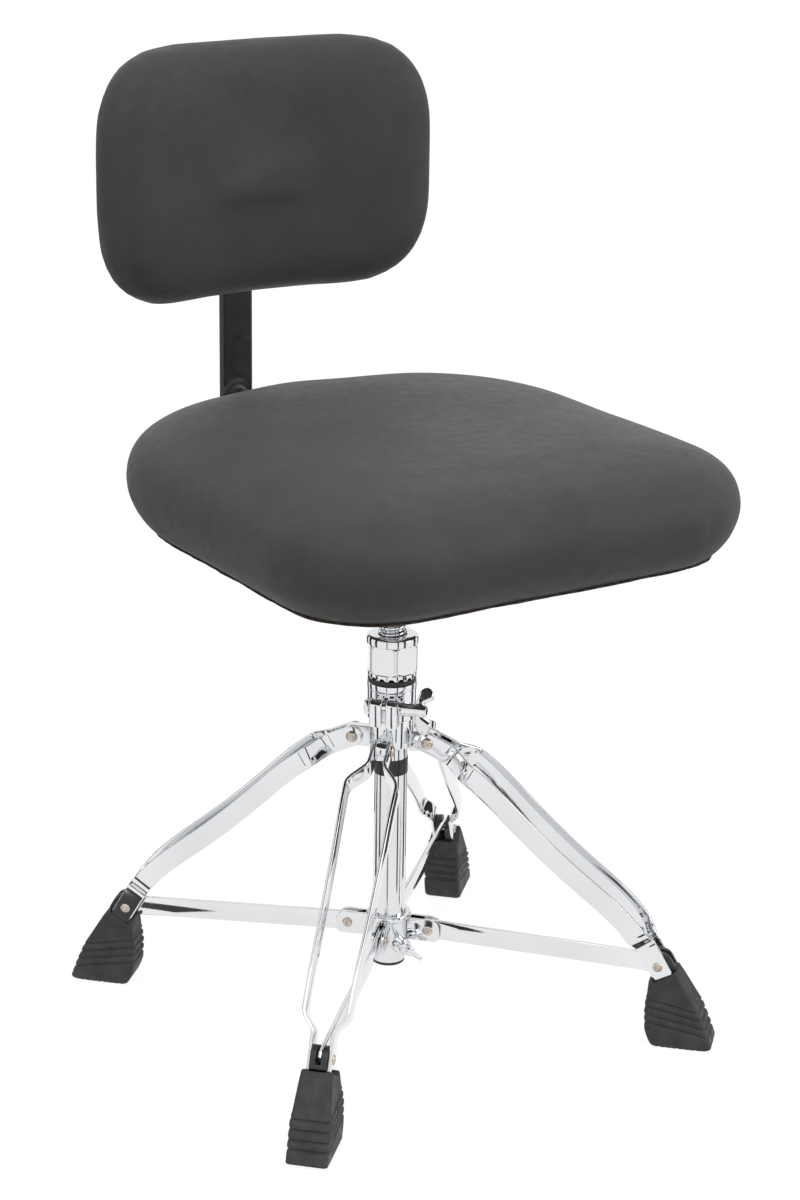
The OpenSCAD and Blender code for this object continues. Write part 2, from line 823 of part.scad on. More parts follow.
module back_board() {
    board_r = back_bend_r + back_t / 2;
    color("burlywood")
        difference() {
            bent_sheet(board_r - back_board_t - 2, board_r - 2, 16, 44);
            for (x = [-1, 1], z = [-1, 1])
                translate([x * 28, back_y, (sleeve_z[0] + sleeve_z[1]) / 2 + z * 24])
                    rotate([-90, 0, 0]) cylinder(r = 2.2, h = 60);
        }
}

module back_screws() {
    screw_y = bar_y - bar_t / 2 - body_gap;
    color("gray")
        for (x = [-1, 1], z = [-1, 1])
            translate([x * 28, screw_y, (sleeve_z[0] + sleeve_z[1]) / 2 + z * 24])
                rotate([90, 0, 0]) {
                    translate([0, 0, -2]) cylinder(r = 4, h = 2);
                    translate([0, 0, -0.5]) cylinder(r = 2.2, h = 11);
                }
}

module back_pad() {
    board_r = back_bend_r + back_t / 2;
    color("dimgray")
        difference() {
            bent_sheet(back_bend_r - back_t / 2, board_r, 0, 57);
            bent_sheet(board_r - back_board_t - 2, board_r - 2, 16, 44);
            for (x = [-1, 1], z = [-1, 1])
                translate([x * 28, back_y, (sleeve_z[0] + sleeve_z[1]) / 2 + z * 24])
                    rotate([-90, 0, 0]) cylinder(r = 2.2, h = 60);
        }
}

// ---------- the pieces ----------

main_tube();
tube_plug();
tube_band();
leg_collar();
leg_pivot_rivets();
tube_clamp();
clamp_bolt();
clamp_wing_nut();
clamp_ring();
spindle_bush();
height_nut();
leg_strip(0, 1);  // strip_left_fr
leg_strip(1, 1);  // strip_left_fl
leg_strip(2, 1);  // strip_left_rl
leg_strip(3, 1);  // strip_left_rr
leg_strip(0, -1);  // strip_right_fr
leg_strip(1, -1);  // strip_right_fl
leg_strip(2, -1);  // strip_right_rl
leg_strip(3, -1);  // strip_right_rr
foot_block(0);  // foot_block_fr
foot_block(1);  // foot_block_fl
foot_block(2);  // foot_block_rl
foot_block(3);  // foot_block_rr
rubber_foot(0);  // rubber_foot_fr
rubber_foot(1);  // rubber_foot_fl
rubber_foot(2);  // rubber_foot_rl
rubber_foot(3);  // rubber_foot_rr
foot_rivet(0);  // foot_rivet_fr
foot_rivet(1);  // foot_rivet_fl
foot_rivet(2);  // foot_rivet_rl
foot_rivet(3);  // foot_rivet_rr
strut(0);  // strut_fr
strut(1);  // strut_fl
strut(2);  // strut_rl
strut(3);  // strut_rr
slide_collar();
strut_clevises();
strut_pins();
collar_wing_screw();
spindle_rod();
spindle_guide();
guide_screw();
seat_hub();
hub_bolts();
seat_plate();
seat_bolts();
seat_board();
seat_cushion();
dust_cover();
bar_holder();
holder_screws();
depth_knob();
backrest_bar();
back_sleeve();
height_knob();
back_board();
back_screws();
back_pad();
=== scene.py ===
"""Drum throne with a backrest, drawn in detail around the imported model.

Lengths are millimetres until a mesh is made.
"""
import json
import math

import bmesh
import bpy
import numpy as np
from mathutils import Matrix, Vector, noise
from mathutils.bvhtree import BVHTree


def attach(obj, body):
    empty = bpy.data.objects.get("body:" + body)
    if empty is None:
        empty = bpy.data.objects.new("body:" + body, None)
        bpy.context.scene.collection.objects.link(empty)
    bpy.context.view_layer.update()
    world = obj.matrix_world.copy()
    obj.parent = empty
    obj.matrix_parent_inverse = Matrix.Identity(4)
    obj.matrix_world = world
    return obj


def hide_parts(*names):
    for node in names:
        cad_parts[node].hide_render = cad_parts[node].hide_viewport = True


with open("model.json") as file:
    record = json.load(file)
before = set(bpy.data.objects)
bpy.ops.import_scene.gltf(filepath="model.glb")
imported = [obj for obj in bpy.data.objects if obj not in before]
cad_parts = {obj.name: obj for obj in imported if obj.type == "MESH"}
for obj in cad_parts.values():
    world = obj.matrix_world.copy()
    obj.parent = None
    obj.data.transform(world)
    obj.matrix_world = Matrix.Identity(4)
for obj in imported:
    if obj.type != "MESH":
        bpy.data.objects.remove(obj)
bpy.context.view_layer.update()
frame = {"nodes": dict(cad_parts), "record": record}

MM = 0.001
LEGS = {"fr": 225, "fl": 315, "rl": 45, "rr": 135}
PI = math.pi

# Column
TUBE_R = 12.7
SLEEVE_R = 15.9
COLUMN_R = 18.7
PIVOT_R, PIVOT_Z = 29.2, 228.2
BOLT_Z, BOLT_REACH, BOLT_AZ = 261.0, 24.0, 315
SPINDLE_R, SPINDLE_ROOT_R, THREAD_PITCH = 10.5, 9.0, 5.0

# Legs and struts
FOOT_R, FOOT_Z = 211.7, 64.5
STRIP_W, STRIP_T = 16.0, 2.5
LEG_LEN = math.hypot(PIVOT_Z - FOOT_Z, FOOT_R - PIVOT_R)
LEG_SLOPE = math.atan2(PIVOT_Z - FOOT_Z, FOOT_R - PIVOT_R)
BOW = ((1, 12.1), (3, 3.8), (5, 0.5))
PIN_R, PIN_Z = 31.9, 72.0
STRUT_LEN = math.hypot(FOOT_R - PIN_R, PIN_Z - FOOT_Z)
STRUT_SLOPE = math.atan2(PIN_Z - FOOT_Z, FOOT_R - PIN_R)
BLOCK_HALF = 6.2
SLOT_HALF, HOOK_R = 2.2, 9.2
SCREW_Z, SCREW_AZ = 61.0, 270

# Seat and backrest
SEAT_Z0 = 397.5
SEAT_HALF_W, SEAT_FRONT, SEAT_BACK = 187.0, 217.0, 178.0
SEAT_FRONT_R, SEAT_BACK_R, SEAT_MIDDLE_R = 77.0, 140.0, 120.0
SEAT_EASE, BACK_EASE = 6.0, 3.8  # how far the starting forms stand out, to make up for smoothing
BOARD_Z = (400.0, 412.0)
BOARD_INSET = 26.0
BACK_W, BACK_H, BACK_T, BACK_Z, BACK_BEND = 288.0, 192.0, 46.0, 630.5, 330.0
BAR_W, BAR_T, BAR_Y, BAR_Z, BAR_BEND = 28.0, 7.0, 239.5, 386.5, 52.0
BAR_FRONT, BAR_TOP = 70.0, 700.0
DEPTH_KNOB_Y, HEIGHT_KNOB_Z, BODY_GAP = 126.0, 625.0, 0.3
BACK_Y = BAR_Y - BAR_T / 2 - 3.2 - BACK_T / 2


# ---------- mesh helpers ----------

def new_piece(name, points, faces, sharp=35):
    """A smooth mesh object from points in millimetres, with edges sharper than an angle kept crisp."""
    mesh = bpy.data.meshes.new(name)
    mesh.from_pydata([Vector(p) * MM for p in points], [], faces)
    bm = bmesh.new()
    bm.from_mesh(mesh)
    bmesh.ops.remove_doubles(bm, verts=bm.verts, dist=2e-6)
    bmesh.ops.dissolve_degenerate(bm, edges=bm.edges, dist=1e-6)
    bmesh.ops.recalc_face_normals(bm, faces=bm.faces)
    bm.to_mesh(mesh)
    bm.free()
    piece = bpy.data.objects.new(name, mesh)
    bpy.context.scene.collection.objects.link(piece)
    crisp(piece, sharp)
    return piece


def crisp(piece, sharp=35):
    piece.data.shade_smooth()
    piece.data.set_sharp_from_angle(angle=math.radians(sharp))


def grid_faces(count, around, closed=False):
    """Quads between neighbouring rings, and from the last ring to the first if closed."""
    return [(i * around + j, i * around + (j + 1) % around,
             (i + 1) % count * around + (j + 1) % around, (i + 1) % count * around + j)
            for i in range(count if closed else count - 1) for j in range(around)]


def open_skin(name, rings, sharp=35):
    faces = grid_faces(len(rings), len(rings[0]))
    return new_piece(name, [p for ring in rings for p in ring], faces, sharp)


def loft(name, rings, closed=False, sharp=35):
    """A skin over rings of points; its ends are capped unless it closes on itself."""
    count, around = len(rings), len(rings[0])
    faces = grid_faces(count, around, closed)
    if not closed:
        faces.append(tuple(range(around))[::-1])
        faces.append(tuple((count - 1) * around + j for j in range(around)))
    return new_piece(name, [p for ring in rings for p in ring], faces, sharp)


def rounded(points, radius, steps=4, closed=True):
    """A polyline with its corners rounded; radius is one number, or one for each corner."""
    out = []
    last = len(points) - 1
    for i, point in enumerate(points):
        p = Vector(point)
        r = radius[i] if isinstance(radius, (list, tuple)) else radius
        if r <= 0 or (not closed and i in (0, last)):
            out.append(p)
            continue
        a, b = Vector(points[i - 1]), Vector(points[(i + 1) % (last + 1)])
        cut = min(r, (a - p).length * 0.49, (b - p).length * 0.49)
        start, end = p + (a - p).normalized() * cut, p + (b - p).normalized() * cut
        for s in range(steps + 1):
            t = s / steps
            out.append(start * (1 - t) ** 2 + p * (2 * t * (1 - t)) + end * t * t)
    return out


def turned(name, profile, steps=112, closed=True, sharp=35):
    """A profile of (radius, height) points turned about Z. An open profile starts and ends on the axis."""
    angles = [2 * PI * j / steps for j in range(steps)]
    rings = [[(p[0] * math.cos(a), p[0] * math.sin(a), p[1]) for a in angles] for p in profile]
    if closed:
        return loft(name, rings, True, sharp)
    return open_skin(name, rings, sharp)


def stud(name, radius, z0, z1, ease0, ease1, steps):
    """A solid round bar along Z, its two ends eased by their own amounts."""
    profile = rounded([(0, z0), (radius, z0), (radius, z1), (0, z1)], [0, ease0, ease1, 0], closed=False)
    return turned(name, profile, steps, False)


def ring_profile(r_in, r_out, z0, z1, edge=0.6):
    return rounded([(r_in, z0), (r_out, z0), (r_out, z1), (r_in, z1)], edge)


def inset(outline, distance):
    """A closed outline moved inwards, corner by corner."""
    p = np.array([tuple(v)[:2] for v in outline], float)
    area = np.sum(p[:, 0] * np.roll(p[:, 1], -1) - np.roll(p[:, 0], -1) * p[:, 1])
    forward = np.roll(p, -1, 0) - p
    forward /= np.linalg.norm(forward, axis=1)[:, None]
    normal = np.stack([-forward[:, 1], forward[:, 0]], 1) * (1 if area > 0 else -1)
    mitre = normal + np.roll(normal, 1, 0)
    mitre /= np.maximum(np.sum(mitre * mitre, axis=1), 0.6)[:, None] / 2
    return p + mitre * distance


def slab(name, outline, half, edge=0.6, steps=3, sharp=35):
    """An outline in X and Z made into a slab across Y, with rounded edges."""
    side = [(edge * (1 - math.sin(PI / 2 * k / steps)), half - edge * (1 - math.cos(PI / 2 * k / steps)))
            for k in range(steps + 1)]
    levels = [(d, -y) for d, y in side] + [(d, y) for d, y in reversed(side)]
    rings = []
    for d, y in levels:
        rings.append([(x, y, z) for x, z in inset(outline, d)])
    return loft(name, rings, False, sharp)


def turn(piece, angle, axis):
    piece.data.transform(Matrix.Rotation(math.radians(angle), 4, axis))
    return piece


def shift(piece, x=0.0, y=0.0, z=0.0):
    piece.data.transform(Matrix.Translation(Vector((x, y, z)) * MM))
    return piece


def settle(piece):
    """Applies the piece's modifiers to its mesh."""
    bpy.context.view_layer.update()
    graph = bpy.context.evaluated_depsgraph_get()
    mesh = bpy.data.meshes.new_from_object(piece.evaluated_get(graph))
    piece.modifiers.clear()
    old = piece.data
    piece.data = mesh
    if old.users == 0:
        bpy.data.meshes.remove(old)
    return piece


def combined(piece, others, operation="UNION", sharp=35):
    """Adds other closed shapes to a piece, or cuts them from it, and drops them."""
    for other in others:
        modifier = piece.modifiers.new("cut", "BOOLEAN")
        modifier.operation = operation
        modifier.solver = "EXACT"
        modifier.object = other
        settle(piece)
        bpy.data.objects.remove(other)
    crisp(piece, sharp)
    return piece


def cast(piece, voxel, smoothing=2, factor=0.5):
    """Remakes a piece with the soft edges of a casting or a moulding."""
    remesh = piece.modifiers.new("remesh", "REMESH")
    remesh.mode = "VOXEL"
    remesh.voxel_size = voxel * MM
    smooth = piece.modifiers.new("smooth", "SMOOTH")
    smooth.iterations = smoothing
    smooth.factor = factor
    settle(piece)
    piece.data.shade_smooth()
    return piece


def joined(name, parts):
    """Puts several shells into one piece."""
    bm = bmesh.new()
    for part in parts:
        bm.from_mesh(part.data)
        bpy.data.objects.remove(part)
    mesh = bpy.data.meshes.new(name)
    bm.to_mesh(mesh)
    bm.free()
    piece = bpy.data.objects.new(name, mesh)
    bpy.context.scene.collection.objects.link(piece)
    crisp(piece)
    return piece


def eased(name, node, width=0.5, segments=2):
    """A CAD node's own shape with its sharp edges rounded over."""
    piece = bpy.data.objects.new(name, frame["nodes"][node].data.copy())
    bpy.context.scene.collection.objects.link(piece)
    bm = bmesh.new()
    bm.from_mesh(piece.data)
    bmesh.ops.remove_doubles(bm, verts=bm.verts, dist=1e-6)
    bmesh.ops.dissolve_limit(bm, angle_limit=math.radians(1.5), verts=bm.verts, edges=bm.edges)
    bm.to_mesh(piece.data)
    bm.free()
    bevel = piece.modifiers.new("bevel", "BEVEL")
    bevel.width = width * MM
    bevel.segments = segments
    bevel.limit_method = "ANGLE"
    bevel.angle_limit = math.radians(38)
    bevel.use_clamp_overlap = True
    settle(piece)
    piece.data.materials.clear()
    crisp(piece, 30)
    return piece


def finished(piece, body, slot, nodes=(), finish=None):
    """Gives a piece the material of its slot and the body it rides on, and hides the CAD nodes it stands for."""
    piece.data.materials.clear()
    piece.data.materials.append(finish or SLOT_FINISH[slot])
    for polygon in piece.data.polygons:
        polygon.material_index = 0
    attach(piece, body)
    if nodes:
        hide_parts(*nodes)
    return piece


def round_each_leg(base, mesh_piece, body, slot, node):
    """Copies a piece made in the plane of azimuth 0 to each leg; body and node may hold the leg's name."""
    for leg, azimuth in LEGS.items():
        piece = bpy.data.objects.new(f"{base}_{leg}", mesh_piece.data)
        bpy.context.scene.collection.objects.link(piece)
        piece.matrix_world = Matrix.Rotation(math.radians(azimuth), 4, "Z")
        finished(piece, body.format(leg), slot, [node.format(leg)])
    bpy.data.objects.remove(mesh_piece)


# ---------- materials ----------

class Finish:
    """A Principled material with procedural detail in the object's own space."""

    def __init__(self, name, colour, roughness, metallic=0.0, **sockets):
        self.material = bpy.data.materials.new(name)
        self.material.use_nodes = True
        self.tree = self.material.node_tree
        self.shader = self.tree.nodes["Principled BSDF"]
        self.shader.inputs["Base Color"].default_value = (*colour, 1)
        self.shader.inputs["Roughness"].default_value = roughness
        self.shader.inputs["Metallic"].default_value = metallic
        for key, value in sockets.items():
            self.shader.inputs[key.replace("_", " ")].default_value = value
        self.place = self.tree.nodes.new("ShaderNodeTexCoord").outputs["Object"]
        self.height = None

    def link(self, a, b):
        self.tree.links.new(a, b)

    def stretched(self, scale):
        node = self.tree.nodes.new("ShaderNodeMapping")
        node.inputs["Scale"].default_value = scale
        self.link(self.place, node.inputs["Vector"])
        return node.outputs["Vector"]

    def noise(self, scale, detail=3.0, stretch=(1, 1, 1), roughness=0.5):
        node = self.tree.nodes.new("ShaderNodeTexNoise")
        node.inputs["Scale"].default_value = scale
        node.inputs["Detail"].default_value = detail
        node.inputs["Roughness"].default_value = roughness
        self.link(self.stretched(stretch), node.inputs["Vector"])
        return node.outputs["Fac"]

    def ramp(self, value, low, high, a, b):
        """Maps value from low..high to the numbers a..b."""
        node = self.tree.nodes.new("ShaderNodeMapRange")
        self.link(value, node.inputs["Value"])
        for key, number in (("From Min", low), ("From Max", high), ("To Min", a), ("To Max", b)):
            node.inputs[key].default_value = number
        return node.outputs["Result"]

    def colours(self, value, low, high, a, b):
        """Mixes colours a and b as value goes from low to high."""
        node = self.tree.nodes.new("ShaderNodeValToRGB")
        node.color_ramp.elements[0].position = low
        node.color_ramp.elements[0].color = (*a, 1)
        node.color_ramp.elements[1].position = high
        node.color_ramp.elements[1].color = (*b, 1)
        self.link(value, node.inputs["Fac"])
        self.link(node.outputs["Color"], self.shader.inputs["Base Color"])
        return node.outputs["Color"]

    def rough(self, value, low, high, a, b):
        self.link(self.ramp(value, low, high, a, b), self.shader.inputs["Roughness"])

    def bump(self, value, depth, strength=1.0):
        """Adds relief of a depth in millimetres; a later call lies on the earlier ones."""
        node = self.tree.nodes.new("ShaderNodeBump")
        node.inputs["Strength"].default_value = strength
        node.inputs["Distance"].default_value = depth * MM
        self.link(value, node.inputs["Height"])
        if self.height is not None:
            self.link(self.height, node.inputs["Normal"])
        self.height = node.outputs["Normal"]
        self.link(self.height, self.shader.inputs["Normal"])

    def weave(self, period):
        """Crossing threads seen on any face: a sum of waves along the three axes."""
        split = self.tree.nodes.new("ShaderNodeSeparateXYZ")
        self.link(self.stretched((1, 1, 1)), split.inputs["Vector"])
        waves = []
        for axis in ("X", "Y", "Z"):
            scaled = self.tree.nodes.new("ShaderNodeMath")
            scaled.operation = "MULTIPLY"
            scaled.inputs[1].default_value = 2 * PI / (period * MM)
            self.link(split.outputs[axis], scaled.inputs[0])
            wave = self.tree.nodes.new("ShaderNodeMath")
            wave.operation = "SINE"
            self.link(scaled.outputs[0], wave.inputs[0])
            waves.append(wave.outputs[0])
        total = waves[0]
        for wave in waves[1:]:
            add = self.tree.nodes.new("ShaderNodeMath")
            add.operation = "ADD"
            self.link(total, add.inputs[0])
            self.link(wave, add.inputs[1])
            total = add.outputs[0]
        return self.ramp(total, -2, 2, 0, 1)


def chrome():
    f = Finish("chrome", (0.74, 0.75, 0.765), 0.07, 1.0)
    f.colours(f.noise(9, 2), 0.35, 0.7, (0.70, 0.71, 0.725), (0.78, 0.79, 0.805))
    f.rough(f.noise(60, 4), 0.35, 0.75, 0.035, 0.11)
    f.bump(f.noise(45, 2), 0.05, 0.25)
    f.bump(f.noise(700, 3, (1, 1, 0.15)), 0.01, 0.12)
    return f.material


def rivet_metal():
    f = Finish("rivet_metal", (0.6, 0.52, 0.45), 0.28, 1.0)
    f.colours(f.noise(250, 3), 0.35, 0.7, (0.44, 0.36, 0.29), (0.70, 0.63, 0.56))
    f.rough(f.noise(500, 3), 0.3, 0.7, 0.18, 0.38)
    f.bump(f.noise(900, 3), 0.03, 0.4)
    return f.material


def rubber():
    f = Finish("rubber", (0.032, 0.032, 0.033), 0.62, 0.0, Specular_IOR_Level=0.42)
    f.colours(f.noise(70, 4), 0.3, 0.72, (0.024, 0.024, 0.025), (0.046, 0.045, 0.046))
    f.rough(f.noise(160, 3), 0.3, 0.7, 0.5, 0.74)
    f.bump(f.noise(1500, 2), 0.06, 0.5)
    f.bump(f.noise(220, 2), 0.12, 0.3)
    return f.material


def black_nylon():
    f = Finish("black_nylon", (0.016, 0.016, 0.017), 0.4)
    f.colours(f.noise(120, 3), 0.3, 0.7, (0.012, 0.012, 0.013), (0.024, 0.024, 0.026))
    f.rough(f.noise(300, 3), 0.3, 0.7, 0.3, 0.5)
    f.bump(f.noise(1200, 2), 0.03, 0.4)
    return f.material


def white_nylon():
    f = Finish("white_nylon", (0.78, 0.77, 0.74), 0.42)
    f.colours(f.noise(90, 3), 0.3, 0.7, (0.72, 0.71, 0.67), (0.82, 0.81, 0.79))
    f.bump(f.noise(800, 2), 0.03, 0.4)
    return f.material


def band_film():
    f = Finish("band_film", (0.012, 0.012, 0.012), 0.28)
    f.colours(f.noise(150, 3), 0.3, 0.7, (0.009, 0.009, 0.009), (0.02, 0.02, 0.02))
    f.bump(f.noise(350, 2), 0.03, 0.3)
    return f.material


def plated_screw():
    f = Finish("plated_screw", (0.56, 0.57, 0.58), 0.3, 1.0)
    f.colours(f.noise(200, 3), 0.3, 0.7, (0.46, 0.47, 0.48), (0.66, 0.67, 0.68))
    f.rough(f.noise(400, 3), 0.3, 0.7, 0.22, 0.42)
    f.bump(f.noise(900, 3), 0.03, 0.4)
    return f.material


def black_steel():
    f = Finish("black_steel", (0.014, 0.014, 0.015), 0.36, 0.0, Coat_Weight=0.25, Coat_Roughness=0.22)
    f.colours(f.noise(60, 4), 0.3, 0.72, (0.010, 0.010, 0.011), (0.020, 0.020, 0.021))
    f.rough(f.noise(180, 3), 0.3, 0.7, 0.3, 0.46)
    f.bump(f.noise(650, 2), 0.06, 0.5)
    return f.material


def plywood():
    f = Finish("plywood", (0.62, 0.45, 0.28), 0.7)
    f.colours(f.noise(30, 5, (1, 12, 40)), 0.3, 0.7, (0.50, 0.34, 0.19), (0.70, 0.53, 0.35))
    f.bump(f.noise(60, 5, (1, 14, 40)), 0.2, 0.5)
    return f.material


def upholstery():
    f = Finish("upholstery", (0.038, 0.0372, 0.0355), 0.58, 0.0,
               Sheen_Weight=0.08, Sheen_Roughness=0.5, Specular_IOR_Level=0.32)
    f.colours(f.noise(26, 5), 0.3, 0.72, (0.033, 0.0324, 0.0308), (0.041, 0.0402, 0.0382))
    f.rough(f.noise(120, 3), 0.3, 0.7, 0.52, 0.64)
    f.bump(f.weave(1.1), 0.07, 0.6)
    f.bump(f.noise(900, 3), 0.08, 0.45)
    f.bump(f.noise(22, 3), 1.0, 0.16)
    return f.material


def liner_cloth():
    f = Finish("liner_cloth", (0.018, 0.018, 0.018), 0.85, 0.0, Sheen_Weight=0.2)
    f.colours(f.noise(300, 4), 0.3, 0.7, (0.012, 0.012, 0.012), (0.028, 0.027, 0.026))
    f.bump(f.weave(0.9), 0.1, 0.7)
    return f.material


def hem_edge():
    f = Finish("hem_edge", (0.09, 0.065, 0.05), 0.8)
    f.colours(f.noise(220, 4), 0.35, 0.7, (0.035, 0.024, 0.018), (0.17, 0.125, 0.10))
    f.bump(f.noise(500, 3), 0.15, 0.6)
    return f.material


def floor_paper():
    f = Finish("floor_paper", (0.1, 0.1, 0.1), 0.9, 0.0, Specular_IOR_Level=0.1,
               Emission_Color=(1, 1, 1, 1), Emission_Strength=0.92)
    f.colours(f.noise(3, 2), 0.3, 0.7, (0.098, 0.098, 0.098), (0.102, 0.102, 0.102))
    return f.material


SLOT_FINISH = {make.__name__: make() for make in (chrome, rivet_metal, rubber, black_nylon, white_nylon, band_film,
                                                  plated_screw, black_steel, plywood, upholstery, liner_cloth)}
HEM, PAPER = hem_edge(), floor_paper()


def paint_cad_nodes():
    """Every CAD node that stays in view takes the finish of its slot."""
    slots = {p["node"]: p["material_slot"] for p in frame["record"]["subparts"]}
    for name, node in frame["nodes"].items():
        finish = SLOT_FINISH[slots[name]]
        node.data.materials.clear()
        node.data.materials.append(finish)


# ---------- column ----------

def make_tube():
    wall = TUBE_R - 1.5
    profile = [(wall, 44.6), (wall + 0.5, 44), (TUBE_R - 0.5, 44), (TUBE_R, 44.6), (TUBE_R, 269.5), (wall, 269.5)]
    finished(turned("centre_tube", profile, 128), "base", "chrome", ["main_tube"])
    plug = rounded([(0, 42), (TUBE_R, 42), (TUBE_R, 44), (TUBE_R - 1.5, 44), (TUBE_R - 1.5, 54), (0, 54)],
                   [0, 1, 0.3, 0.2, 0.8, 0], closed=False)
    finished(turned("tube_end_plug", plug, 64, closed=False), "base", "black_nylon", ["tube_plug"])
    band = ring_profile(TUBE_R + 0.02, TUBE_R + 0.3, 200.6, 213.4, 0.12)
    finished(turned("tube_marker_band", band, 128), "base", "band_film", ["tube_band"])


def make_leg_collar():
    bore = TUBE_R + 0.02
    profile = rounded([(bore, 223), (17, 223), (17, 245.5), (SLEEVE_R, 245.5), (SLEEVE_R, 269.4), (bore, 269.4)],
                      [0.5, 2.2, 0.8, 0.2, 0.5, 0.5])
    collar = turned("leg_collar_casting", profile, 128)
    lugs = []
    for azimuth in LEGS.values():
        outline = [(14.5, PIVOT_Z - 8)]
        outline += [(PIVOT_R + 8 * math.sin(a), PIVOT_Z - 8 * math.cos(a)) for a in np.linspace(0, PI, 20)]
        outline += [(14.5, PIVOT_Z + 8)]
        lugs.append(turn(slab("lug", outline, 4.3, 0.8), azimuth, "Z"))
    finished(combined(collar, lugs), "base", "chrome", ["leg_collar"])


def rivet_head(name, radius, height, dimple):
    """A domed head on the XY plane with a pressed dimple."""
    profile = [(0, height - dimple), (radius * 0.18, height - dimple * 0.92),
               (radius * 0.34, height - dimple * 0.35), (radius * 0.45, height),
               (radius * 0.62, height * 0.93), (radius * 0.82, height * 0.68),
               (radius * 0.95, height * 0.36), (radius, 0.12), (radius * 0.97, 0), (radius * 0.5, -0.3), (0, -0.3)]
    return turned(name, profile, 40, closed=False, sharp=60)


def rivet(name, shaft_r, half, head_r, head_h, x, z):
    """A rivet across the plane of azimuth 0."""
    parts = [turn(turned("shaft", [(0, -half), (shaft_r, -half), (shaft_r, half), (0, half)], 32, False), 90, "X")]
    for side in (-1, 1):
        head = rivet_head("head", head_r, head_h, head_h * 0.35)
        parts.append(shift(turn(head, -90 * side, "X"), 0, side * half, 0))
    return shift(joined(name, parts), x, 0, z)


def make_clamp():
    """A split ring whose two ears are drawn together by the wing nut."""
    gap_half = 1.5
    profile = rounded([(SLEEVE_R + 0.02, 246), (COLUMN_R, 246), (COLUMN_R, 269.5), (SLEEVE_R + 0.02, 269.5)], 0.7)
    band = turned("tube_clamp_casting", profile, 128)
    top = [(BOLT_REACH - 0.5 + 6 * math.cos(a), BOLT_Z + 6 * math.sin(a)) for a in np.linspace(0.1, PI * 0.62, 12)]
    outline = [(16.5, 246.4), (29, 246.4), (29.5, BOLT_Z)] + top + [(17, BOLT_Z + 5.0)]
    ears = [shift(slab("ear", outline, (11 - gap_half) / 2, 1.3, 4), 0, side * (11 + gap_half) / 2, 0)
            for side in (-1, 1)]
    slit = slab("slit", [(12, 240), (22, 240), (22, 275), (12, 275)], gap_half, 0.01, 1)
    clamp = turn(combined(combined(band, ears), [slit], "DIFFERENCE"), BOLT_AZ - 90, "Z")
    finished(clamp, "base", "chrome", ["tube_clamp"])
    place = Matrix.Rotation(math.radians(BOLT_AZ - 90), 4, "Z") @ Matrix.Translation(
        Vector((BOLT_REACH, 0, BOLT_Z)) * MM) @ Matrix.Rotation(math.radians(-90), 4, "X")
    shaft = stud("shaft", 2.9, -15, 27, 0.3, 0.7, 40)
    hexagon = [(6.2 * math.cos(PI / 3 * i), 6.2 * math.sin(PI / 3 * i)) for i in range(6)]
    head = turn(slab("bolt_head", rounded(hexagon, 0.5), 2, 0.5), 90, "X")
    washer = turned("washer", ring_profile(3.1, 6.4, 9.6, 10.9, 0.3), 48)
    bolt = joined("clamp_bolt_set", [shaft, shift(head, 0, 0, -13.1), washer])
    bolt.data.transform(place)
    finished(bolt, "base", "chrome", ["clamp_bolt"])
    wing = wing_casting("clamp_wing", 5.2, 21, 11.2, 6.6, 5.4, 3.0)
    turn(wing, 62, "Z")
    shift(wing, 0, 0, 11.3)
    wing.data.transform(place)
    finished(wing, "clamp_wing", "chrome", ["clamp_wing_nut"])


def wing_casting(name, stem_r, stem_h, reach, lobe_r, blade, bore_r=0):
    """A two-lobed wing on a tapered stem, with cast edges. The stem stands on the XY plane."""
    stem = turned(name, [(0, 0), (stem_r, 0), (stem_r, 2), (stem_r * 0.92, stem_h * 0.7), (stem_r * 0.8, stem_h),
                         (0, stem_h)], 48, False)
    parts = [stem]
    low = stem_h - lobe_r * 1.15
    for side in (-1, 1):
        outline = [(0, low), (side * reach * 0.62, low - lobe_r * 0.15)]
        lobe = [(side * (reach + lobe_r * math.cos(a)), stem_h - lobe_r * 0.2 + lobe_r * 0.85 * math.sin(a))
                for a in np.linspace(-PI * 0.42, PI * 0.62, 14)]
        outline += lobe + [(side * reach * 0.45, stem_h - lobe_r * 0.35), (0, stem_h - lobe_r * 0.5)]
        parts.append(slab("lobe", outline, blade / 2, blade * 0.3))
    whole = joined(name, parts)
    cast(whole, 0.42, 3)
    if not bore_r:
        return whole
    bore = turned("bore", [(0, -1), (bore_r, -1), (bore_r, stem_h + 6), (0, stem_h + 6)], 32, False)
    return combined(whole, [bore], "DIFFERENCE", 50)


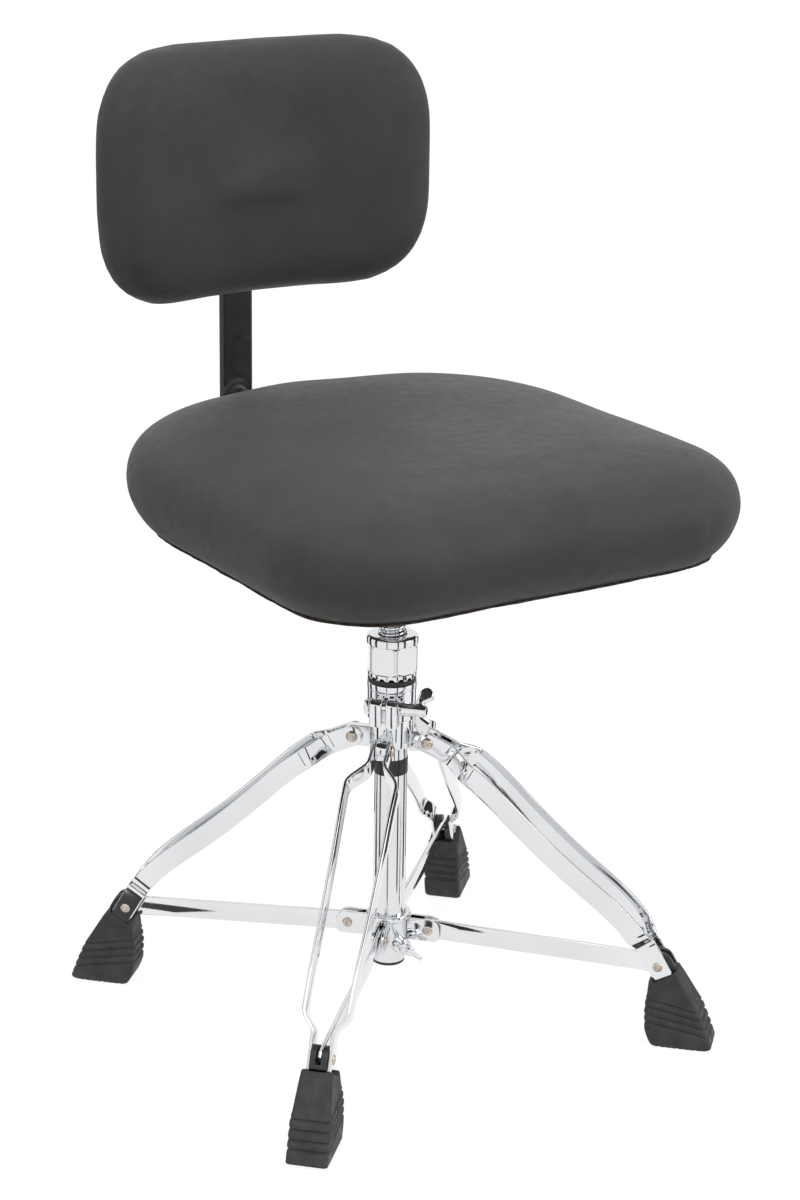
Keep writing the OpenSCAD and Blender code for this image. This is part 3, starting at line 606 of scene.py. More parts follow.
def make_nut():
    """Height nut: round shoulder, hexagon with turned corners, and a scalloped skirt over the black ring."""
    z0, steps, flat, skirt_h, corner_turn = 279.0, 256, 18.0, 4.2, math.radians(5)
    angles = [2 * PI * j / steps for j in range(steps)]
    rings = []
    for s in np.linspace(0, 1, 9):
        ring = []
        for a in angles:
            reach = ((a * 16 / (2 * PI)) % 1 - 0.5) * 2 * PI * COLUMN_R / 16
            low = z0 + max(math.sqrt(max(2.4 ** 2 - reach ** 2, 0)) - 0.6, 0)
            r = COLUMN_R + 0.2 - 0.3 * (s < 0.1)
            ring.append((r * math.cos(a), r * math.sin(a), low + (z0 + skirt_h - low) * s))
        rings.append(ring)
    upper = [(283.6, 19.3, 1), (284.4, 19.9, 1), (285.4, 20.3, 1), (290, 20.3, 1), (297, 20.3, 1), (302.4, 20.3, 1),
             (303.6, 20.1, 1), (304.6, 19.6, 1), (305.2, 19.2, 1), (305.4, 19.4, 0), (305.9, 19.8, 0),
             (309.6, 19.8, 0), (310.9, 19.3, 0), (311.7, 18.3, 0),
             (312, 17.0, 0), (312, 11.8, 0), (311.4, 10.9, 0), (300, 10.7, 0),
             (285.2, 10.7, 0), (285, 14.2, 0)]
    for z, radius, hexed in upper:
        ring = []
        for a in angles:
            r = radius
            if hexed:
                facet = flat / math.cos((a - corner_turn) % (PI / 3) - PI / 6)
                r = -0.22 * math.log(math.exp(-radius / 0.22) + math.exp(-facet / 0.22))
            ring.append((r * math.cos(a), r * math.sin(a), z))
        rings.append(ring)
    rings.append([(x * 14.2 / math.hypot(x, y), y * 14.2 / math.hypot(x, y), z) for x, y, z in rings[0]])
    finished(loft("height_nut_turned", rings, True, 30), "base", "chrome", ["height_nut"])
    ring = rounded([(10.7, 269.6), (19.1, 269.6), (19.1, 275), (17.6, 275), (10.7, 275)], 0.8)
    finished(turned("clamp_cap_ring", ring, 128), "base", "chrome", ["clamp_ring"])
    bush = rounded([(10.7, 275.1), (18.4, 275.1), (18.4, 278.8), (14, 279.4), (14, 284.6), (10.7, 284.6)], 0.5)
    finished(turned("spindle_bush_ring", bush, 128), "base", "black_nylon", ["spindle_bush"])


# ---------- legs ----------

def bow(u):
    return sum(h * math.sin(PI * n * u / LEG_LEN) for n, h in BOW)


def bow_angle(u):
    return math.atan(sum(h * n * PI / LEG_LEN * math.cos(PI * n * u / LEG_LEN) for n, h in BOW))


def strip_offset(u):
    """Distance of a strip's middle from the leg's plane, with its bends eased."""
    us = (-60, 20, 35, 217, 226, 400)
    outer = (7.1, 7.1, 20.5, 17.5, 8.75, 8.75)
    return float(np.mean([np.interp(u + d, us, outer) for d in np.linspace(-3.5, 3.5, 9)])) - STRIP_T / 2


def to_leg_plane(piece):
    """Moves a piece from a leg's own frame to the plane of azimuth 0."""
    piece.data.transform(Matrix.Translation(Vector((PIVOT_R, 0, PIVOT_Z)) * MM)
                         @ Matrix.Rotation(LEG_SLOPE, 4, "Y"))
    return piece


def strip(side):
    """One pressed strip, from its round end at the collar to its square tail in the foot."""
    half = STRIP_W / 2
    stations = []
    first, last = bow_angle(0), bow_angle(LEG_LEN)
    for a in np.linspace(0.22, PI / 2, 9)[:-1]:
        s = -half * math.cos(a)
        stations.append((s * math.cos(first), s * math.sin(first), first, half * math.sin(a)))
    for u in np.concatenate([np.arange(0, 42, 2.0), np.arange(42, 208, 5.0), np.arange(208, 234, 1.5),
                             np.linspace(235, LEG_LEN, 4)]):
        stations.append((u, bow(u), bow_angle(u), half))
    for s, w in ((3, half), (7, half), (9.2, half), (9.8, half - 0.25), (10, half - 0.8)):
        stations.append((LEG_LEN + s * math.cos(last), s * math.sin(last), last, w))
    rings = []
    for u, v, angle, w in stations:
        y = strip_offset(u)
        lean = math.atan2(strip_offset(u + 0.5) - strip_offset(u - 0.5), 1.0)
        corner = min(0.85, w * 0.45)
        loop = rounded([(-w, -STRIP_T / 2), (w, -STRIP_T / 2), (w, STRIP_T / 2), (-w, STRIP_T / 2)], corner, 3)
        ring = []
        for p, q in loop:
            along = -q * math.sin(lean)
            ring.append((u - p * math.sin(angle) + along, side * (y + q * math.cos(lean)), v + p * math.cos(angle)))
        rings.append(ring)
    return to_leg_plane(loft("strip", rings, False, 50))


def strut_room(half, reach):
    """The room that the strut sweeps between the strips as the legs fold, in the leg's own frame."""
    clear = 8.1
    rest, fold = PI + LEG_SLOPE - STRUT_SLOPE, PI + math.radians(2.8)
    outline = [(LEG_LEN + reach * math.cos(a), reach * math.sin(a))
               for a in np.linspace(rest - PI * 1.5, fold - PI / 2, 16)]
    for angle, side in ((fold, -1), (rest, 1)):
        normal = angle + side * PI / 2
        outline.append((LEG_LEN + 70 * math.cos(angle) + clear * math.cos(normal),
                        70 * math.sin(angle) + clear * math.sin(normal)))
    return slab("room", outline, half, 0.01, 1)


def in_tail_frame(piece):
    """Moves a piece from the frame of the strips' tails to the leg's own frame."""
    piece.data.transform(Matrix.Translation(Vector((LEG_LEN, 0, 0)) * MM)
                         @ Matrix.Rotation(-bow_angle(LEG_LEN), 4, "Y"))
    return piece


def tail_box(x0, x1, y0, y1, z0, z1):
    outline = [(x0, z0), (x1, z0), (x1, z1), (x0, z1)]
    return in_tail_frame(shift(slab("box", outline, (y1 - y0) / 2, 0.01, 1), 0, (y0 + y1) / 2, 0))


def foot_block():
    """The nylon spacer between the strips, with a slot for the strut."""
    outline = rounded([(-9.5, -8), (16, -8), (16, 7), (9.5, 7), (8, 11.5), (-4, 11.5), (-9.5, 6)],
                      [0.8, 0.8, 0.8, 1, 0.8, 5, 4])
    block = in_tail_frame(slab("block", outline, BLOCK_HALF, 0.7, 3))
    slot = tail_box(-12, 5, -SLOT_HALF, SLOT_HALF, 3, 14)
    return to_leg_plane(combined(block, [strut_room(SLOT_HALF, HOOK_R), slot], "DIFFERENCE"))


def rubber_foot():
    """A moulded foot: ribbed sides, rounded toe, treaded sole, and a pocket for the strips and the block."""
    inner = ((0.0, 213), (0.5, 211), (1.6, 209.6), (4, 208), (9, 205.8), (14, 204.2), (28, 203.4), (45, 204.3),
             (53.4, 205), (54.4, 206.8), (61.1, 222.8), (61.5, 224.2))
    outer = ((0.0, 244), (0.5, 250), (1.3, 254), (2.6, 256), (4, 256.2), (16, 252), (35, 244), (56, 231),
             (60.4, 227.6), (61.2, 226.9), (61.5, 226.0))
    width = ((0.0, 13.2), (1, 14.6), (2.6, 15.4), (30, 15.3), (60, 12.6), (61, 12.2), (61.5, 11.4))
    grooves = (12.0, 18.0, 24.0, 29.8)
    groove_depth, rib_h = 1.7, 0.9
    heights = np.unique(np.concatenate([np.arange(0, 4, 0.5), np.arange(4, 54, 0.6), np.arange(54, 61.51, 0.5)]))
    rings = []
    for z in heights:
        r0, r1 = np.interp(z, *zip(*inner)), np.interp(z, *zip(*outer))
        half = np.interp(z, *zip(*width))
        corner = min(3.2, (r1 - r0) * 0.4)
        loop = even(np.array([tuple(p) for p in rounded([(r0, -half), (r1, -half), (r1, half), (r0, half)],
                                                        corner, 6)]), 120)
        middle = Vector(((r0 + r1) / 2, 0))
        ring = []
        for x, y in loop:
            climb = 9.0 * max(0.0, min(1.0, (250 - x) / 45)) ** 0.8
            levels = [z - g - climb * (0.8 + 0.2 * g / 30) for g in grooves]
            dent = groove_depth * max(math.exp(-(d / 1.15) ** 4) for d in levels)
            rib = rib_h
            if levels[0] > -4:
                rib = rib_h / (1 + math.exp((max(levels[-1], -4) - 2.2) / 0.4))
            away = Vector((x, y)) - middle
            seam = 0.35 * math.exp(-(y / 0.7) ** 2) if x > r1 - 2 else 0.0
            away += away.normalized() * (rib - dent + seam - rib_h)
            ring.append((middle[0] + away.x, middle[1] + away.y, z))
        rings.append(ring)
    foot = loft("rubber_foot", rings, False, 60)
    cuts = [tail_box(-40, 16.2, -BLOCK_HALF, BLOCK_HALF, -8.1, 7.1),
            tail_box(-40, 9.8, -BLOCK_HALF, BLOCK_HALF, 6, 12)]
    for lo, hi in ((6.1, 20.0), (-20.0, -6.1)):
        cuts.append(tail_box(-40, 10.3, lo, hi, -8.3, 8.3))
    cuts.append(strut_room(SLOT_HALF, HOOK_R))
    cuts = [to_leg_plane(c) for c in cuts]
    for x in np.arange(212, 258, 4.6):
        tread = [(x - 0.9, -1.2), (x + 0.9, -1.2), (x + 0.35, 1.3), (x - 0.35, 1.3)]
        cuts.append(slab("tread", tread, 24, 0.01, 1))
    combined(foot, cuts, "DIFFERENCE")
    return cast(foot, 0.6, 1, 0.5)


def make_legs():
    for side, word in ((1, "left"), (-1, "right")):
        round_each_leg(f"leg_strip_{word}", strip(side), "leg_{}", "chrome", f"strip_{word}_{{}}")
    round_each_leg("foot_spacer", foot_block(), "leg_{}", "black_nylon", "foot_block_{}")
    round_each_leg("moulded_foot", rubber_foot(), "leg_{}", "rubber", "rubber_foot_{}")
    half = BLOCK_HALF + 0.05 + STRIP_T
    round_each_leg("foot_pin", rivet("foot_pin", 2.4, half, 3.8, 1.3, FOOT_R, FOOT_Z), "leg_{}",
                   "rivet_metal", "foot_rivet_{}")
    pivots = []
    for azimuth in LEGS.values():
        pivots.append(turn(rivet("pivot", 3.42, 7.4, 4.5, 2.0, PIVOT_R, PIVOT_Z), azimuth, "Z"))
    finished(joined("pivot_rivets", pivots), "base", "rivet_metal", ["leg_pivot_rivets"])


def make_struts():
    half = 15.5 / 2
    ends = [(half * math.cos(a), half * math.sin(a)) for a in np.linspace(PI / 2, PI * 1.5, 20)]
    far = STRUT_LEN + 7
    outline = ends + [(far - 3, -half), (far, -half + 3), (far, half - 3), (far - 3, half)]
    bar = slab("strut", outline, 1.5, 0.6, 3)
    bar.data.transform(Matrix.Translation(Vector((PIN_R, 0, PIN_Z)) * MM) @ Matrix.Rotation(STRUT_SLOPE, 4, "Y"))
    round_each_leg("strut_bar", bar, "strut_{}", "chrome", "strut_{}")


# ---------- sliding collar ----------

def make_collar():
    profile = rounded([(TUBE_R + 0.1, 50), (15.8, 50), (15.8, 79.6), (17.1, 80.2), (17.1, 83.8),
                       (TUBE_R + 0.1, 84)], [0.5, 0.9, 0.5, 0.8, 1.2, 0.6])
    ring = turned("slide_collar_turned", profile, 128)
    boss = turn(stud("boss", 6.5, 14, 23, 0, 0.9, 48), 90, "Y")
    turn(shift(boss, 0, 0, SCREW_Z), SCREW_AZ, "Z")
    finished(combined(ring, [boss]), "collar", "chrome", ["slide_collar"])
    outline = [(15.4, PIN_Z - 9)]
    outline += [(38.5, PIN_Z - 9), (41, PIN_Z - 6.5)]
    outline += [(33 + 8 * math.cos(a), PIN_Z + 1 + 8 * math.sin(a)) for a in np.linspace(0, PI / 2, 10)]
    outline += [(15.4, PIN_Z + 9)]
    plates = []
    for azimuth in LEGS.values():
        for side in (-1, 1):
            plate = shift(slab("plate", outline, 1, 0.45), 0, side * 3.8, 0)
            plates.append(turn(plate, azimuth, "Z"))
        bridge = [(15.3, PIN_Z - 9), (17.6, PIN_Z - 9), (17.6, PIN_Z + 9), (15.3, PIN_Z + 9)]
        plates.append(turn(slab("bridge", bridge, 3.4, 0.3), azimuth, "Z"))
    finished(joined("clevis_plates", plates), "collar", "chrome", ["strut_clevises"])
    pins = [turn(rivet("pin", 2.45, 4.85, 4, 1.4, PIN_R, PIN_Z), azimuth, "Z") for azimuth in LEGS.values()]
    finished(joined("clevis_rivets", pins), "collar", "rivet_metal", ["strut_pins"])
    place = Matrix.Rotation(math.radians(SCREW_AZ), 4, "Z") @ Matrix.Translation(Vector((0, 0, SCREW_Z)) * MM) @ \
        Matrix.Rotation(math.radians(90), 4, "Y")
    shaft = stud("stud", 2.95, 13.1, 24, 0.4, 0, 32)
    wing = shift(turn(wing_casting("wing", 4.4, 9, 9.2, 4.4, 3.2), 50, "Z"), 0, 0, 23.3)
    screw = joined("collar_wing", [shaft, wing])
    screw.data.transform(place)
    finished(screw, "collar_screw", "chrome", ["collar_wing_screw"])


# ---------- spindle and seat frame ----------

def make_spindle():
    """A real helical thread; it climbs one pitch for each turn."""
    steps, per_turn, z0, z1 = 56, 12, 130.0, 390.0
    count = int((z1 - z0) / THREAD_PITCH * per_turn)
    rings = []
    for i in range(count + 1):
        z = z0 + (z1 - z0) * i / count
        end = min((z - z0) / 2.5, 1.0)
        ring = []
        for j in range(steps):
            a = 2 * PI * j / steps
            wave = math.cos(2 * PI * (z / THREAD_PITCH - a / (2 * PI)))
            crest = 0.5 + 0.5 * math.tanh(1.9 * (wave + 0.15)) / math.tanh(1.9 * 1.15)
            r = SPINDLE_ROOT_R + (SPINDLE_R - SPINDLE_ROOT_R) * min(crest, 1.0) * (0.4 + 0.6 * end)
            ring.append((r * math.cos(a), r * math.sin(a), z))
        rings.append(ring)
    rod = loft("threaded_spindle", rings, False, 60)
    pin = stud("pin", 6, 115.7, 131, 0.5, 0, 48)
    finished(joined("spindle_set", [rod, pin]), "seat", "chrome", ["spindle_rod"])


def make_seat_frame():
    hub = rounded([(10.8, 362), (18, 362), (18, 390.4), (20.5, 392.2), (46, 392.2), (46, 396.2), (10.8, 396.2)],
                  [0.6, 1.4, 2, 2, 0.8, 0.8, 0.2])
    finished(turned("seat_hub_casting", hub, 96), "seat", "black_steel", ["seat_hub"])
    for name, node, width, body, slot in (
            ("mounting_plate", "seat_plate", 0.7, "seat", "black_steel"),
            ("hub_bolt_set", "hub_bolts", 0.4, "seat", "plated_screw"),
            ("seat_bolt_set", "seat_bolts", 0.4, "seat", "plated_screw"),
            ("bar_channel", "bar_holder", 0.6, "seat", "black_steel"),
            ("channel_screw_set", "holder_screws", 0.5, "seat", "plated_screw"),
            ("guide_bush", "spindle_guide", 0.4, "guide", "white_nylon"),
            ("guide_screw_set", "guide_screw", 0.4, "seat", "plated_screw"),
            ("base_board", "seat_board", 0.8, "seat", "plywood"),
            ("liner_sheet", "dust_cover", 0.15, "seat", "liner_cloth")):
        finished(eased(name, node, width), body, slot, [node])


# ---------- backrest bar ----------

def make_bar():
    """The flat bar with a pressed crescent across its bend."""
    bend_y, bend_z = BAR_Y - BAR_BEND, BAR_Z + BAR_BEND
    path = [(y, BAR_Z, 0.0) for y in np.linspace(BAR_FRONT, bend_y, 24)]
    path += [(bend_y + BAR_BEND * math.sin(a), bend_z - BAR_BEND * math.cos(a), a)
             for a in np.linspace(0, PI / 2, 40)[1:]]
    path += [(BAR_Y, z, PI / 2) for z in np.arange(bend_z + 1.5, bend_z + 40, 1.5)]
    path += [(BAR_Y, z, PI / 2) for z in np.linspace(bend_z + 44, BAR_TOP, 30)]
    columns = 20
    rings = []
    for i, (y, z, angle) in enumerate(path):
        ends = min(i, len(path) - 1 - i)
        trim = (1.0, 0.35, 0.0)[min(ends, 2)]
        w, t = BAR_W / 2 - trim, BAR_T / 2 - trim * 0.6
        loop = []
        for side in (-1, 1):
            for x in np.linspace(-side * w, side * w, columns):
                edge = max(abs(x) - (w - 1.8), 0) / 1.8
                loop.append((x, side * (t - 1.8 * (1 - math.sqrt(max(1 - edge * edge, 0))))))
        ring = []
        for x, n in loop:
            if n < 0:
                arc = z - (452 - 0.055 * x * x)
                n += 1.3 * math.exp(-(arc / 3.2) ** 2) * (angle > PI * 0.4) * max(1 - (x / w) ** 4, 0)
            ring.append((x, y + n * math.sin(angle), z - n * math.cos(angle)))
        rings.append(ring)
    finished(loft("back_bar", rings, False, 50), "bar", "black_steel", ["backrest_bar"])


def knob(name):
    """A lobed clamping knob; its stud's tip is at the origin and it grows along Z."""
    steps = 120
    profile = [(0.0, 10.5), (0.9, 10.5), (0.97, 11.2), (1.0, 12.4), (1.0, 19.5), (0.97, 21.2), (0.88, 22.4),
               (0.6, 22.9), (0.3, 23.0), (0.0, 23.0)]
    rings = []
    for share, z in profile:
        ring = []
        for j in range(steps):
            a = 2 * PI * j / steps
            lobe = 15.1 + 1.9 * math.tanh(2.2 * math.cos(6 * a)) * min(share * 1.2, 1)
            ring.append((share * lobe * math.cos(a + PI / 6), share * lobe * math.sin(a + PI / 6), z))
        rings.append(ring)
    head = open_skin("head", rings, 50)
    return joined(name, [head, stud("neck", 7.6, 5.5, 12, 0.8, 0, 48), stud("stud", 3.9, 0, 7, 0.6, 0, 40)])


def make_adjusters():
    depth = shift(turn(knob("depth_knob_moulding"), 180, "X"), 0, DEPTH_KNOB_Y,
                  BAR_Z - BAR_T / 2 - BODY_GAP)
    finished(depth, "depth_knob", "black_nylon", ["depth_knob"])
    height = shift(turn(knob("height_knob_moulding"), -90, "X"), 0,
                   BAR_Y + BAR_T / 2 + BODY_GAP, HEIGHT_KNOB_Z)
    finished(height, "height_knob", "black_nylon", ["height_knob"])
    finished(eased("sleeve_casting", "back_sleeve", 0.6), "back", "black_steel", ["back_sleeve"])
    finished(eased("sleeve_screw_set", "back_screws", 0.5), "back", "plated_screw", ["back_screws"])


# ---------- soft pieces ----------

def seat_outline(count, reach=0.0):
    """The seat's plan, evenly spaced, drawn in by reach."""
    circles = []
    for side in (1, -1):
        circles.append((side * (SEAT_HALF_W - SEAT_FRONT_R), SEAT_FRONT_R - SEAT_FRONT, SEAT_FRONT_R))
        circles.append((side * (SEAT_HALF_W - SEAT_BACK_R), SEAT_BACK - 10 - SEAT_BACK_R, SEAT_BACK_R))
    circles.append((0.0, SEAT_BACK - SEAT_MIDDLE_R, SEAT_MIDDLE_R))
    dense = []
    for a in np.linspace(0, 2 * PI, 1440, endpoint=False):
        n = (math.cos(a), math.sin(a))
        x, y, r = max(circles, key=lambda c: c[0] * n[0] + c[1] * n[1] + c[2])
        dense.append((x + (r - reach) * n[0], y + (r - reach) * n[1]))
    return even(np.array(dense), count)


def even(points, count):
    """A closed line's points, spaced evenly along it."""
    loop = np.vstack([points, points[:1]])
    steps = np.linalg.norm(np.diff(loop, axis=0), axis=1)
    along = np.concatenate([[0], np.cumsum(steps)])
    at = np.linspace(0, along[-1], count, endpoint=False)
    return np.stack([np.interp(at, along, loop[:, k]) for k in range(loop.shape[1])], 1)


def positions(piece):
    """The mesh's points in millimetres."""
    co = np.zeros(len(piece.data.vertices) * 3, np.float32)
    piece.data.vertices.foreach_get("co", co)
    return co.reshape(-1, 3) / MM


def averaged(piece, values, rounds):
    """Evens out a value per vertex by averaging it with its neighbours, round after round."""
    edges = np.zeros(len(piece.data.edges) * 2, np.int32)
    piece.data.edges.foreach_get("vertices", edges)
    a, b = edges.reshape(-1, 2).T
    degree = np.bincount(edges, minlength=len(values))[:, None] + 1.0
    for _ in range(rounds):
        total = values.copy()
        for axis in range(values.shape[1]):
            from_b = np.bincount(a, values[b, axis], len(values))
            from_a = np.bincount(b, values[a, axis], len(values))
            total[:, axis] += from_b + from_a
        values = total / degree
    return values


def puffed(piece, voxel, cap, pressure=4.0, frames=20):
    """Blows the piece up gently as cloth, no point moving further than cap millimetres."""
    remesh = piece.modifiers.new("remesh", "REMESH")
    remesh.mode = "VOXEL"
    remesh.voxel_size = voxel * MM
    settle(piece)
    count = len(piece.data.vertices)
    start = np.zeros(count * 3, np.float32)
    piece.data.vertices.foreach_get("co", start)
    cloth = piece.modifiers.new("cloth", "CLOTH")
    cloth.settings.quality = 5
    cloth.settings.use_pressure = True
    cloth.settings.uniform_pressure_force = pressure
    cloth.settings.effector_weights.gravity = 0
    cloth.point_cache.frame_start = 1
    cloth.point_cache.frame_end = frames
    scene = bpy.context.scene
    for step in range(1, frames + 1):
        scene.frame_set(step)
    graph = bpy.context.evaluated_depsgraph_get()
    shape = piece.evaluated_get(graph).to_mesh()
    end = np.zeros(count * 3, np.float32)
    shape.vertices.foreach_get("co", end)
    piece.evaluated_get(graph).to_mesh_clear()
    piece.modifiers.remove(cloth)
    scene.frame_set(1)
    move = (end - start).reshape(-1, 3)
    length = np.maximum(np.linalg.norm(move, axis=1), 1e-9)
    move *= (cap * MM / (length + cap * MM))[:, None]
    move = averaged(piece, move, 60)
    piece.data.vertices.foreach_set("co", (start.reshape(-1, 3) + move).ravel())
    smooth = piece.modifiers.new("smooth", "SMOOTH")
    smooth.iterations = 10
    smooth.factor = 0.5
    subdivide = piece.modifiers.new("subdivide", "SUBSURF")
    subdivide.levels = 1
    subdivide.render_levels = 1
    settle(piece)
    piece.data.shade_smooth()
    return piece


def cushion_shape():
    """The foam's starting form: a crowned block drawn in at its lower lip."""
    crown = [(0, 32), (1.2, 26), (4.5, 19), (10, 12), (20, 5), (34, 0), (45, 0.8), (53, 3.2), (60, 7.6), (65.5, 14),
             (71, 24), (74.5, 36), (77.6, 54), (79.6, 76), (80.6, 100), (81, 120)]
    rings = []
    for height, reach in crown:
        rings.append([(x, y, SEAT_Z0 + height) for x, y in seat_outline(200, reach - SEAT_EASE)])
    return loft("seat_pad", rings)


def make_seat_pad():
    pad = puffed(cushion_shape(), 6.0, 3.5)
    board = seat_outline(160, BOARD_INSET - 3.0)
    co = positions(pad)
    for i, (x, y, z) in enumerate(co):
        side = math.hypot(x, y)
        fold = noise.noise(Vector((x / 55, y / 55, z / 9)))
        low = max(0.0, min(1.0, (440 - z) / 30)) * max(0.0, min(1.0, (z - 398) / 8))
        swell = noise.noise(Vector((x / 70, y / 70, z / 60)) + Vector((3, 7, 1)))
        push = 0.75 * fold * low + 0.7 * swell
        if side > 1:
            co[i, 0] += x / side * push
            co[i, 1] += y / side * push
        if z > 440:
            co[i, 2] += 0.8 * swell
        if z < 416 and inside(board, x, y):
            co[i, 2] = BOARD_Z[1] + 0.5
    co[:, 2] = np.maximum(co[:, 2], SEAT_Z0)
    pad.data.vertices.foreach_set("co", (co * MM).ravel())
    finished(pad, "seat", "upholstery", ["seat_cushion"])
    return pad


def inside(outline, x, y):
    """Whether a point is inside a convex outline that runs anticlockwise."""
    a = outline
    b = np.roll(outline, -1, 0)
    return bool(np.all((b[:, 0] - a[:, 0]) * (y - a[:, 1]) - (b[:, 1] - a[:, 1]) * (x - a[:, 0]) >= 0))


def make_hem(pad):
    """The cover's turned raw edge, stapled under the lip and slightly wavy."""
    reach = 20.0
    surface = BVHTree.FromObject(pad, bpy.context.evaluated_depsgraph_get())
    rings = []
    for x, y in seat_outline(420, reach):
        side = math.hypot(x, y)
        wave = noise.noise(Vector((x / 26, y / 26, 5)))
        ripple = noise.noise(Vector((x / 8, y / 8, 9)))
        hit = surface.ray_cast(Vector((x, y, SEAT_Z0 - 30)) * MM, Vector((0, 0, 1)))[0]
        z = hit.z / MM if hit else SEAT_Z0
        out = Vector((x / side, y / side, 0))
        centre = Vector((x, y, z - 0.2)) + out * (1.6 * wave + 0.5 * ripple)
        rings.append([centre + out * (4.2 * math.cos(a)) + Vector((0, 0, 0.7 * math.sin(a)))
                      for a in np.linspace(0, 2 * PI, 10, endpoint=False)])
    hem = loft("cover_hem", rings, True, 60)
    finished(hem, "seat", "upholstery", finish=HEM)


def back_point(s, y, z):
    """A point of the back pad: s along its curve, y behind its middle surface, z above its middle."""
    a = s / BACK_BEND
    return ((BACK_BEND + y) * math.sin(a), BACK_Y - BACK_BEND + (BACK_BEND + y) * math.cos(a), BACK_Z + z)


def back_outline(reach, count=160):
    w, h = BACK_W / 2 - reach, BACK_H / 2 - reach
    corner = max(57 - reach * 0.55, 12)
    outline = rounded([(-w, -h), (w, -h), (w, h), (-w, h)], corner * 1.28, 16)
    return even(np.array([tuple(p) for p in outline]), count)


def make_back_pad():
    front = [(0, 0.0), (0.6, -5), (2.6, -10), (6, -14.2), (11, -17.2), (18, -19.2), (28, -20.5), (42, -21.3),
             (60, -21.7), (80, -22)]
    rear = [(0, 0.0), (0.5, 5), (2, 10), (4.5, 14.5), (8, 18), (12, 20.2), (18, 21.2), (40, 21.6), (80, 21.8)]
    rings = []
    for reach, y in reversed(front):
        rings.append([back_point(s, y, z) for s, z in back_outline(reach - BACK_EASE)])
    for reach, y in rear[1:]:
        rings.append([back_point(s, y, z) for s, z in back_outline(reach - BACK_EASE)])
    pad = puffed(loft("back_pad_shape", rings), 5.0, 2.5)
    co = positions(pad)
    centre = Vector((0, BACK_Y - BACK_BEND, 0))
    for i, (x, y, z) in enumerate(co):
        away = Vector((x, y, 0)) - centre
        swell = noise.noise(Vector((x / 55, y / 55, z / 45)) + Vector((11, 2, 5)))
        crease = noise.noise(Vector((x / 40, y / 14, z / 8)))
        edge = max(0.0, min(1.0, (abs(z - BACK_Z) - 62) / 22))
        reach = away.length + 0.8 * swell
        if away.length > BACK_BEND + 12:
            reach = min(reach, BACK_BEND + 22.5)
        away = away.normalized() * reach
        co[i, 0], co[i, 1] = centre.x + away.x, centre.y + away.y
        co[i, 2] += math.copysign(0.5 * crease * edge, z - BACK_Z)
    pad.data.vertices.foreach_set("co", (co * MM).ravel())
    finished(pad, "back", "upholstery", ["back_pad"])


def make_back_board():
    finished(eased("back_panel", "back_board", 0.6), "back", "plywood", ["back_board"])


# ---------- stage ----------

def make_floor():
    """A plain pale floor. It glows a little, and gives the throne no soft light of its own."""
    rings = []
    for radius in (0.0, 0.6, 1.5, 4, 10, 30, 90):
        rings.append([(radius * 1000 * math.cos(a), radius * 1000 * math.sin(a), -0.02)
                      for a in np.linspace(0, 2 * PI, 64, endpoint=False)])
    floor = open_skin("floor", rings)
    floor.data.materials.append(PAPER)
    if floor.data.polygons[0].normal.z < 0:
        floor.data.flip_normals()
    floor.visible_diffuse = False


def make_flags():
    """Dark cards lying and standing round the set. Only gloss sees them, as the streaks in the chrome."""
    card = Finish("dark_card", (0.02, 0.02, 0.022), 0.9)
    card.colours(card.noise(4, 2), 0.3, 0.7, (0.012, 0.012, 0.013), (0.03, 0.03, 0.033))
    points, faces = [], []
    far, low, high = 2600, 0.3, 1500
    for azimuth, spread, near in ((163, 6, 240), (292, 5, 240), (127, 8, 260), (347, 8, 260), (214, 2, 500),
                                  (262, 3, 500), (98, 9, 400), (20, 7, 300)):
        a, b = math.radians(azimuth - spread), math.radians(azimuth + spread)
        first = len(points)
        points += [(reach * math.cos(angle), reach * math.sin(angle), z) for angle, reach, z in (
            (a, near, low), (a, far, low), (b, far, low), (b, near, low), (a, far, high), (b, far, high))]
        faces += [(first, first + 1, first + 2, first + 3), (first + 1, first + 4, first + 5, first + 2)]
    flags = new_piece("flags", points, faces)
    flags.data.materials.append(card.material)
    flags.visible_camera = False
    flags.visible_diffuse = False
    flags.visible_shadow = False
    flags.visible_transmission = False


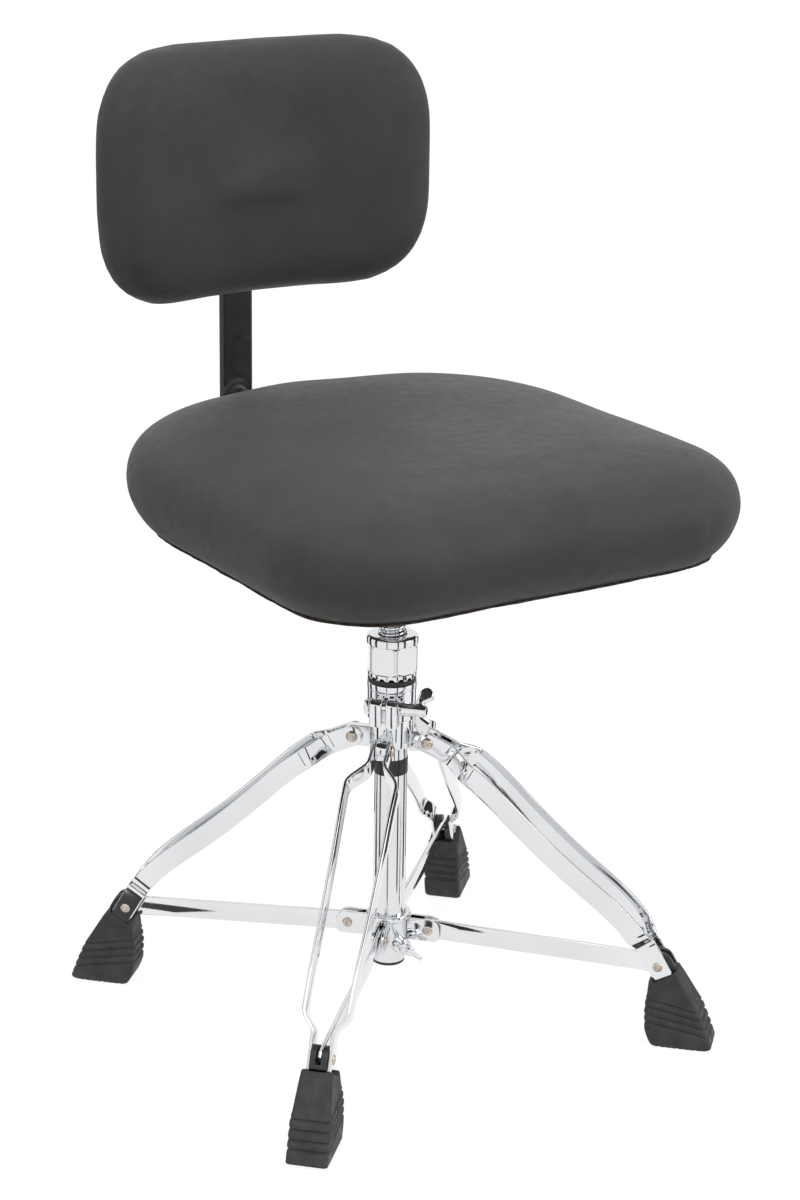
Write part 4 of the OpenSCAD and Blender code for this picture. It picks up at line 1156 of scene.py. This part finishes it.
def make_light():
    """A white room, dimmer towards the floor for matt things, with one broad sun and two soft boxes."""
    world = bpy.data.worlds.new("studio")
    bpy.context.scene.world = world
    world.use_nodes = True
    tree = world.node_tree
    coords = tree.nodes.new("ShaderNodeTexCoord")
    axes = tree.nodes.new("ShaderNodeSeparateXYZ")
    height = tree.nodes.new("ShaderNodeMapRange")
    rays = tree.nodes.new("ShaderNodeLightPath")
    level = tree.nodes.new("ShaderNodeMix")
    tree.links.new(coords.outputs["Generated"], axes.inputs[0])
    tree.links.new(axes.outputs["Z"], height.inputs["Value"])
    height.inputs["From Min"].default_value = -0.9
    height.inputs["From Max"].default_value = 0.9
    height.inputs["To Min"].default_value = 0.12
    height.inputs["To Max"].default_value = 1.05
    tree.links.new(rays.outputs["Is Diffuse Ray"], level.inputs["Factor"])
    level.inputs["A"].default_value = 1.0
    tree.links.new(height.outputs["Result"], level.inputs["B"])
    tree.links.new(level.outputs["Result"], tree.nodes["Background"].inputs["Strength"])
    tree.nodes["Background"].inputs["Color"].default_value = (1, 1, 1, 1)
    sun = bpy.data.lights.new("sky_panel", "SUN")
    sun.energy = 0.85
    sun.angle = 1.1
    lamps = [(sun, (-0.5, -0.9, 2.2), (0, 0, 0))]
    for name, place, aim, size, power in (("key", (-0.9, -1.4, 2.3), (0, 0, 0.5), 1.3, 10),
                                          ("side", (1.6, -1.6, 1.2), (0, 0.1, 0.5), 1.0, 9)):
        light = bpy.data.lights.new(name, "AREA")
        light.size = size
        light.energy = power
        lamps.append((light, place, aim))
    for light, place, aim in lamps:
        lamp = bpy.data.objects.new(light.name, light)
        lamp.location = place
        lamp.rotation_mode = "QUATERNION"
        lamp.rotation_quaternion = (Vector(aim) - Vector(place)).to_track_quat("-Z", "Y")
        lamp.visible_glossy = light.type == "AREA"
        bpy.context.scene.collection.objects.link(lamp)


def make_camera():
    azimuth, elevation, roll = (math.radians(v) for v in (-32.59, 18.74, 0.85))
    distance, height, aside = 2.08304, 0.33805, 0.00513
    back = Vector((math.sin(azimuth) * math.cos(elevation), -math.cos(azimuth) * math.cos(elevation),
                   math.sin(elevation)))
    right = Vector((math.cos(azimuth), math.sin(azimuth), 0))
    up = back.cross(right)
    across = right * math.cos(roll) + up * math.sin(roll)
    above = -right * math.sin(roll) + up * math.cos(roll)
    camera = bpy.data.objects.new("camera", bpy.data.cameras.new("camera"))
    camera.data.lens = 83.65
    camera.data.sensor_width = 36
    target = Vector((0, 0, height)) + right * aside
    turned_to = Matrix((across, above, back)).transposed().to_4x4()
    camera.matrix_world = Matrix.Translation(target + back * distance) @ turned_to
    bpy.context.scene.collection.objects.link(camera)
    bpy.context.scene.camera = camera
    bpy.context.scene.view_settings.view_transform = "Standard"


make_camera()
make_floor()
make_flags()
make_light()
paint_cad_nodes()
make_tube()
make_leg_collar()
make_clamp()
make_nut()
make_legs()
make_struts()
make_collar()
make_spindle()
make_seat_frame()
make_bar()
make_adjusters()
make_hem(make_seat_pad())
make_back_pad()
make_back_board()
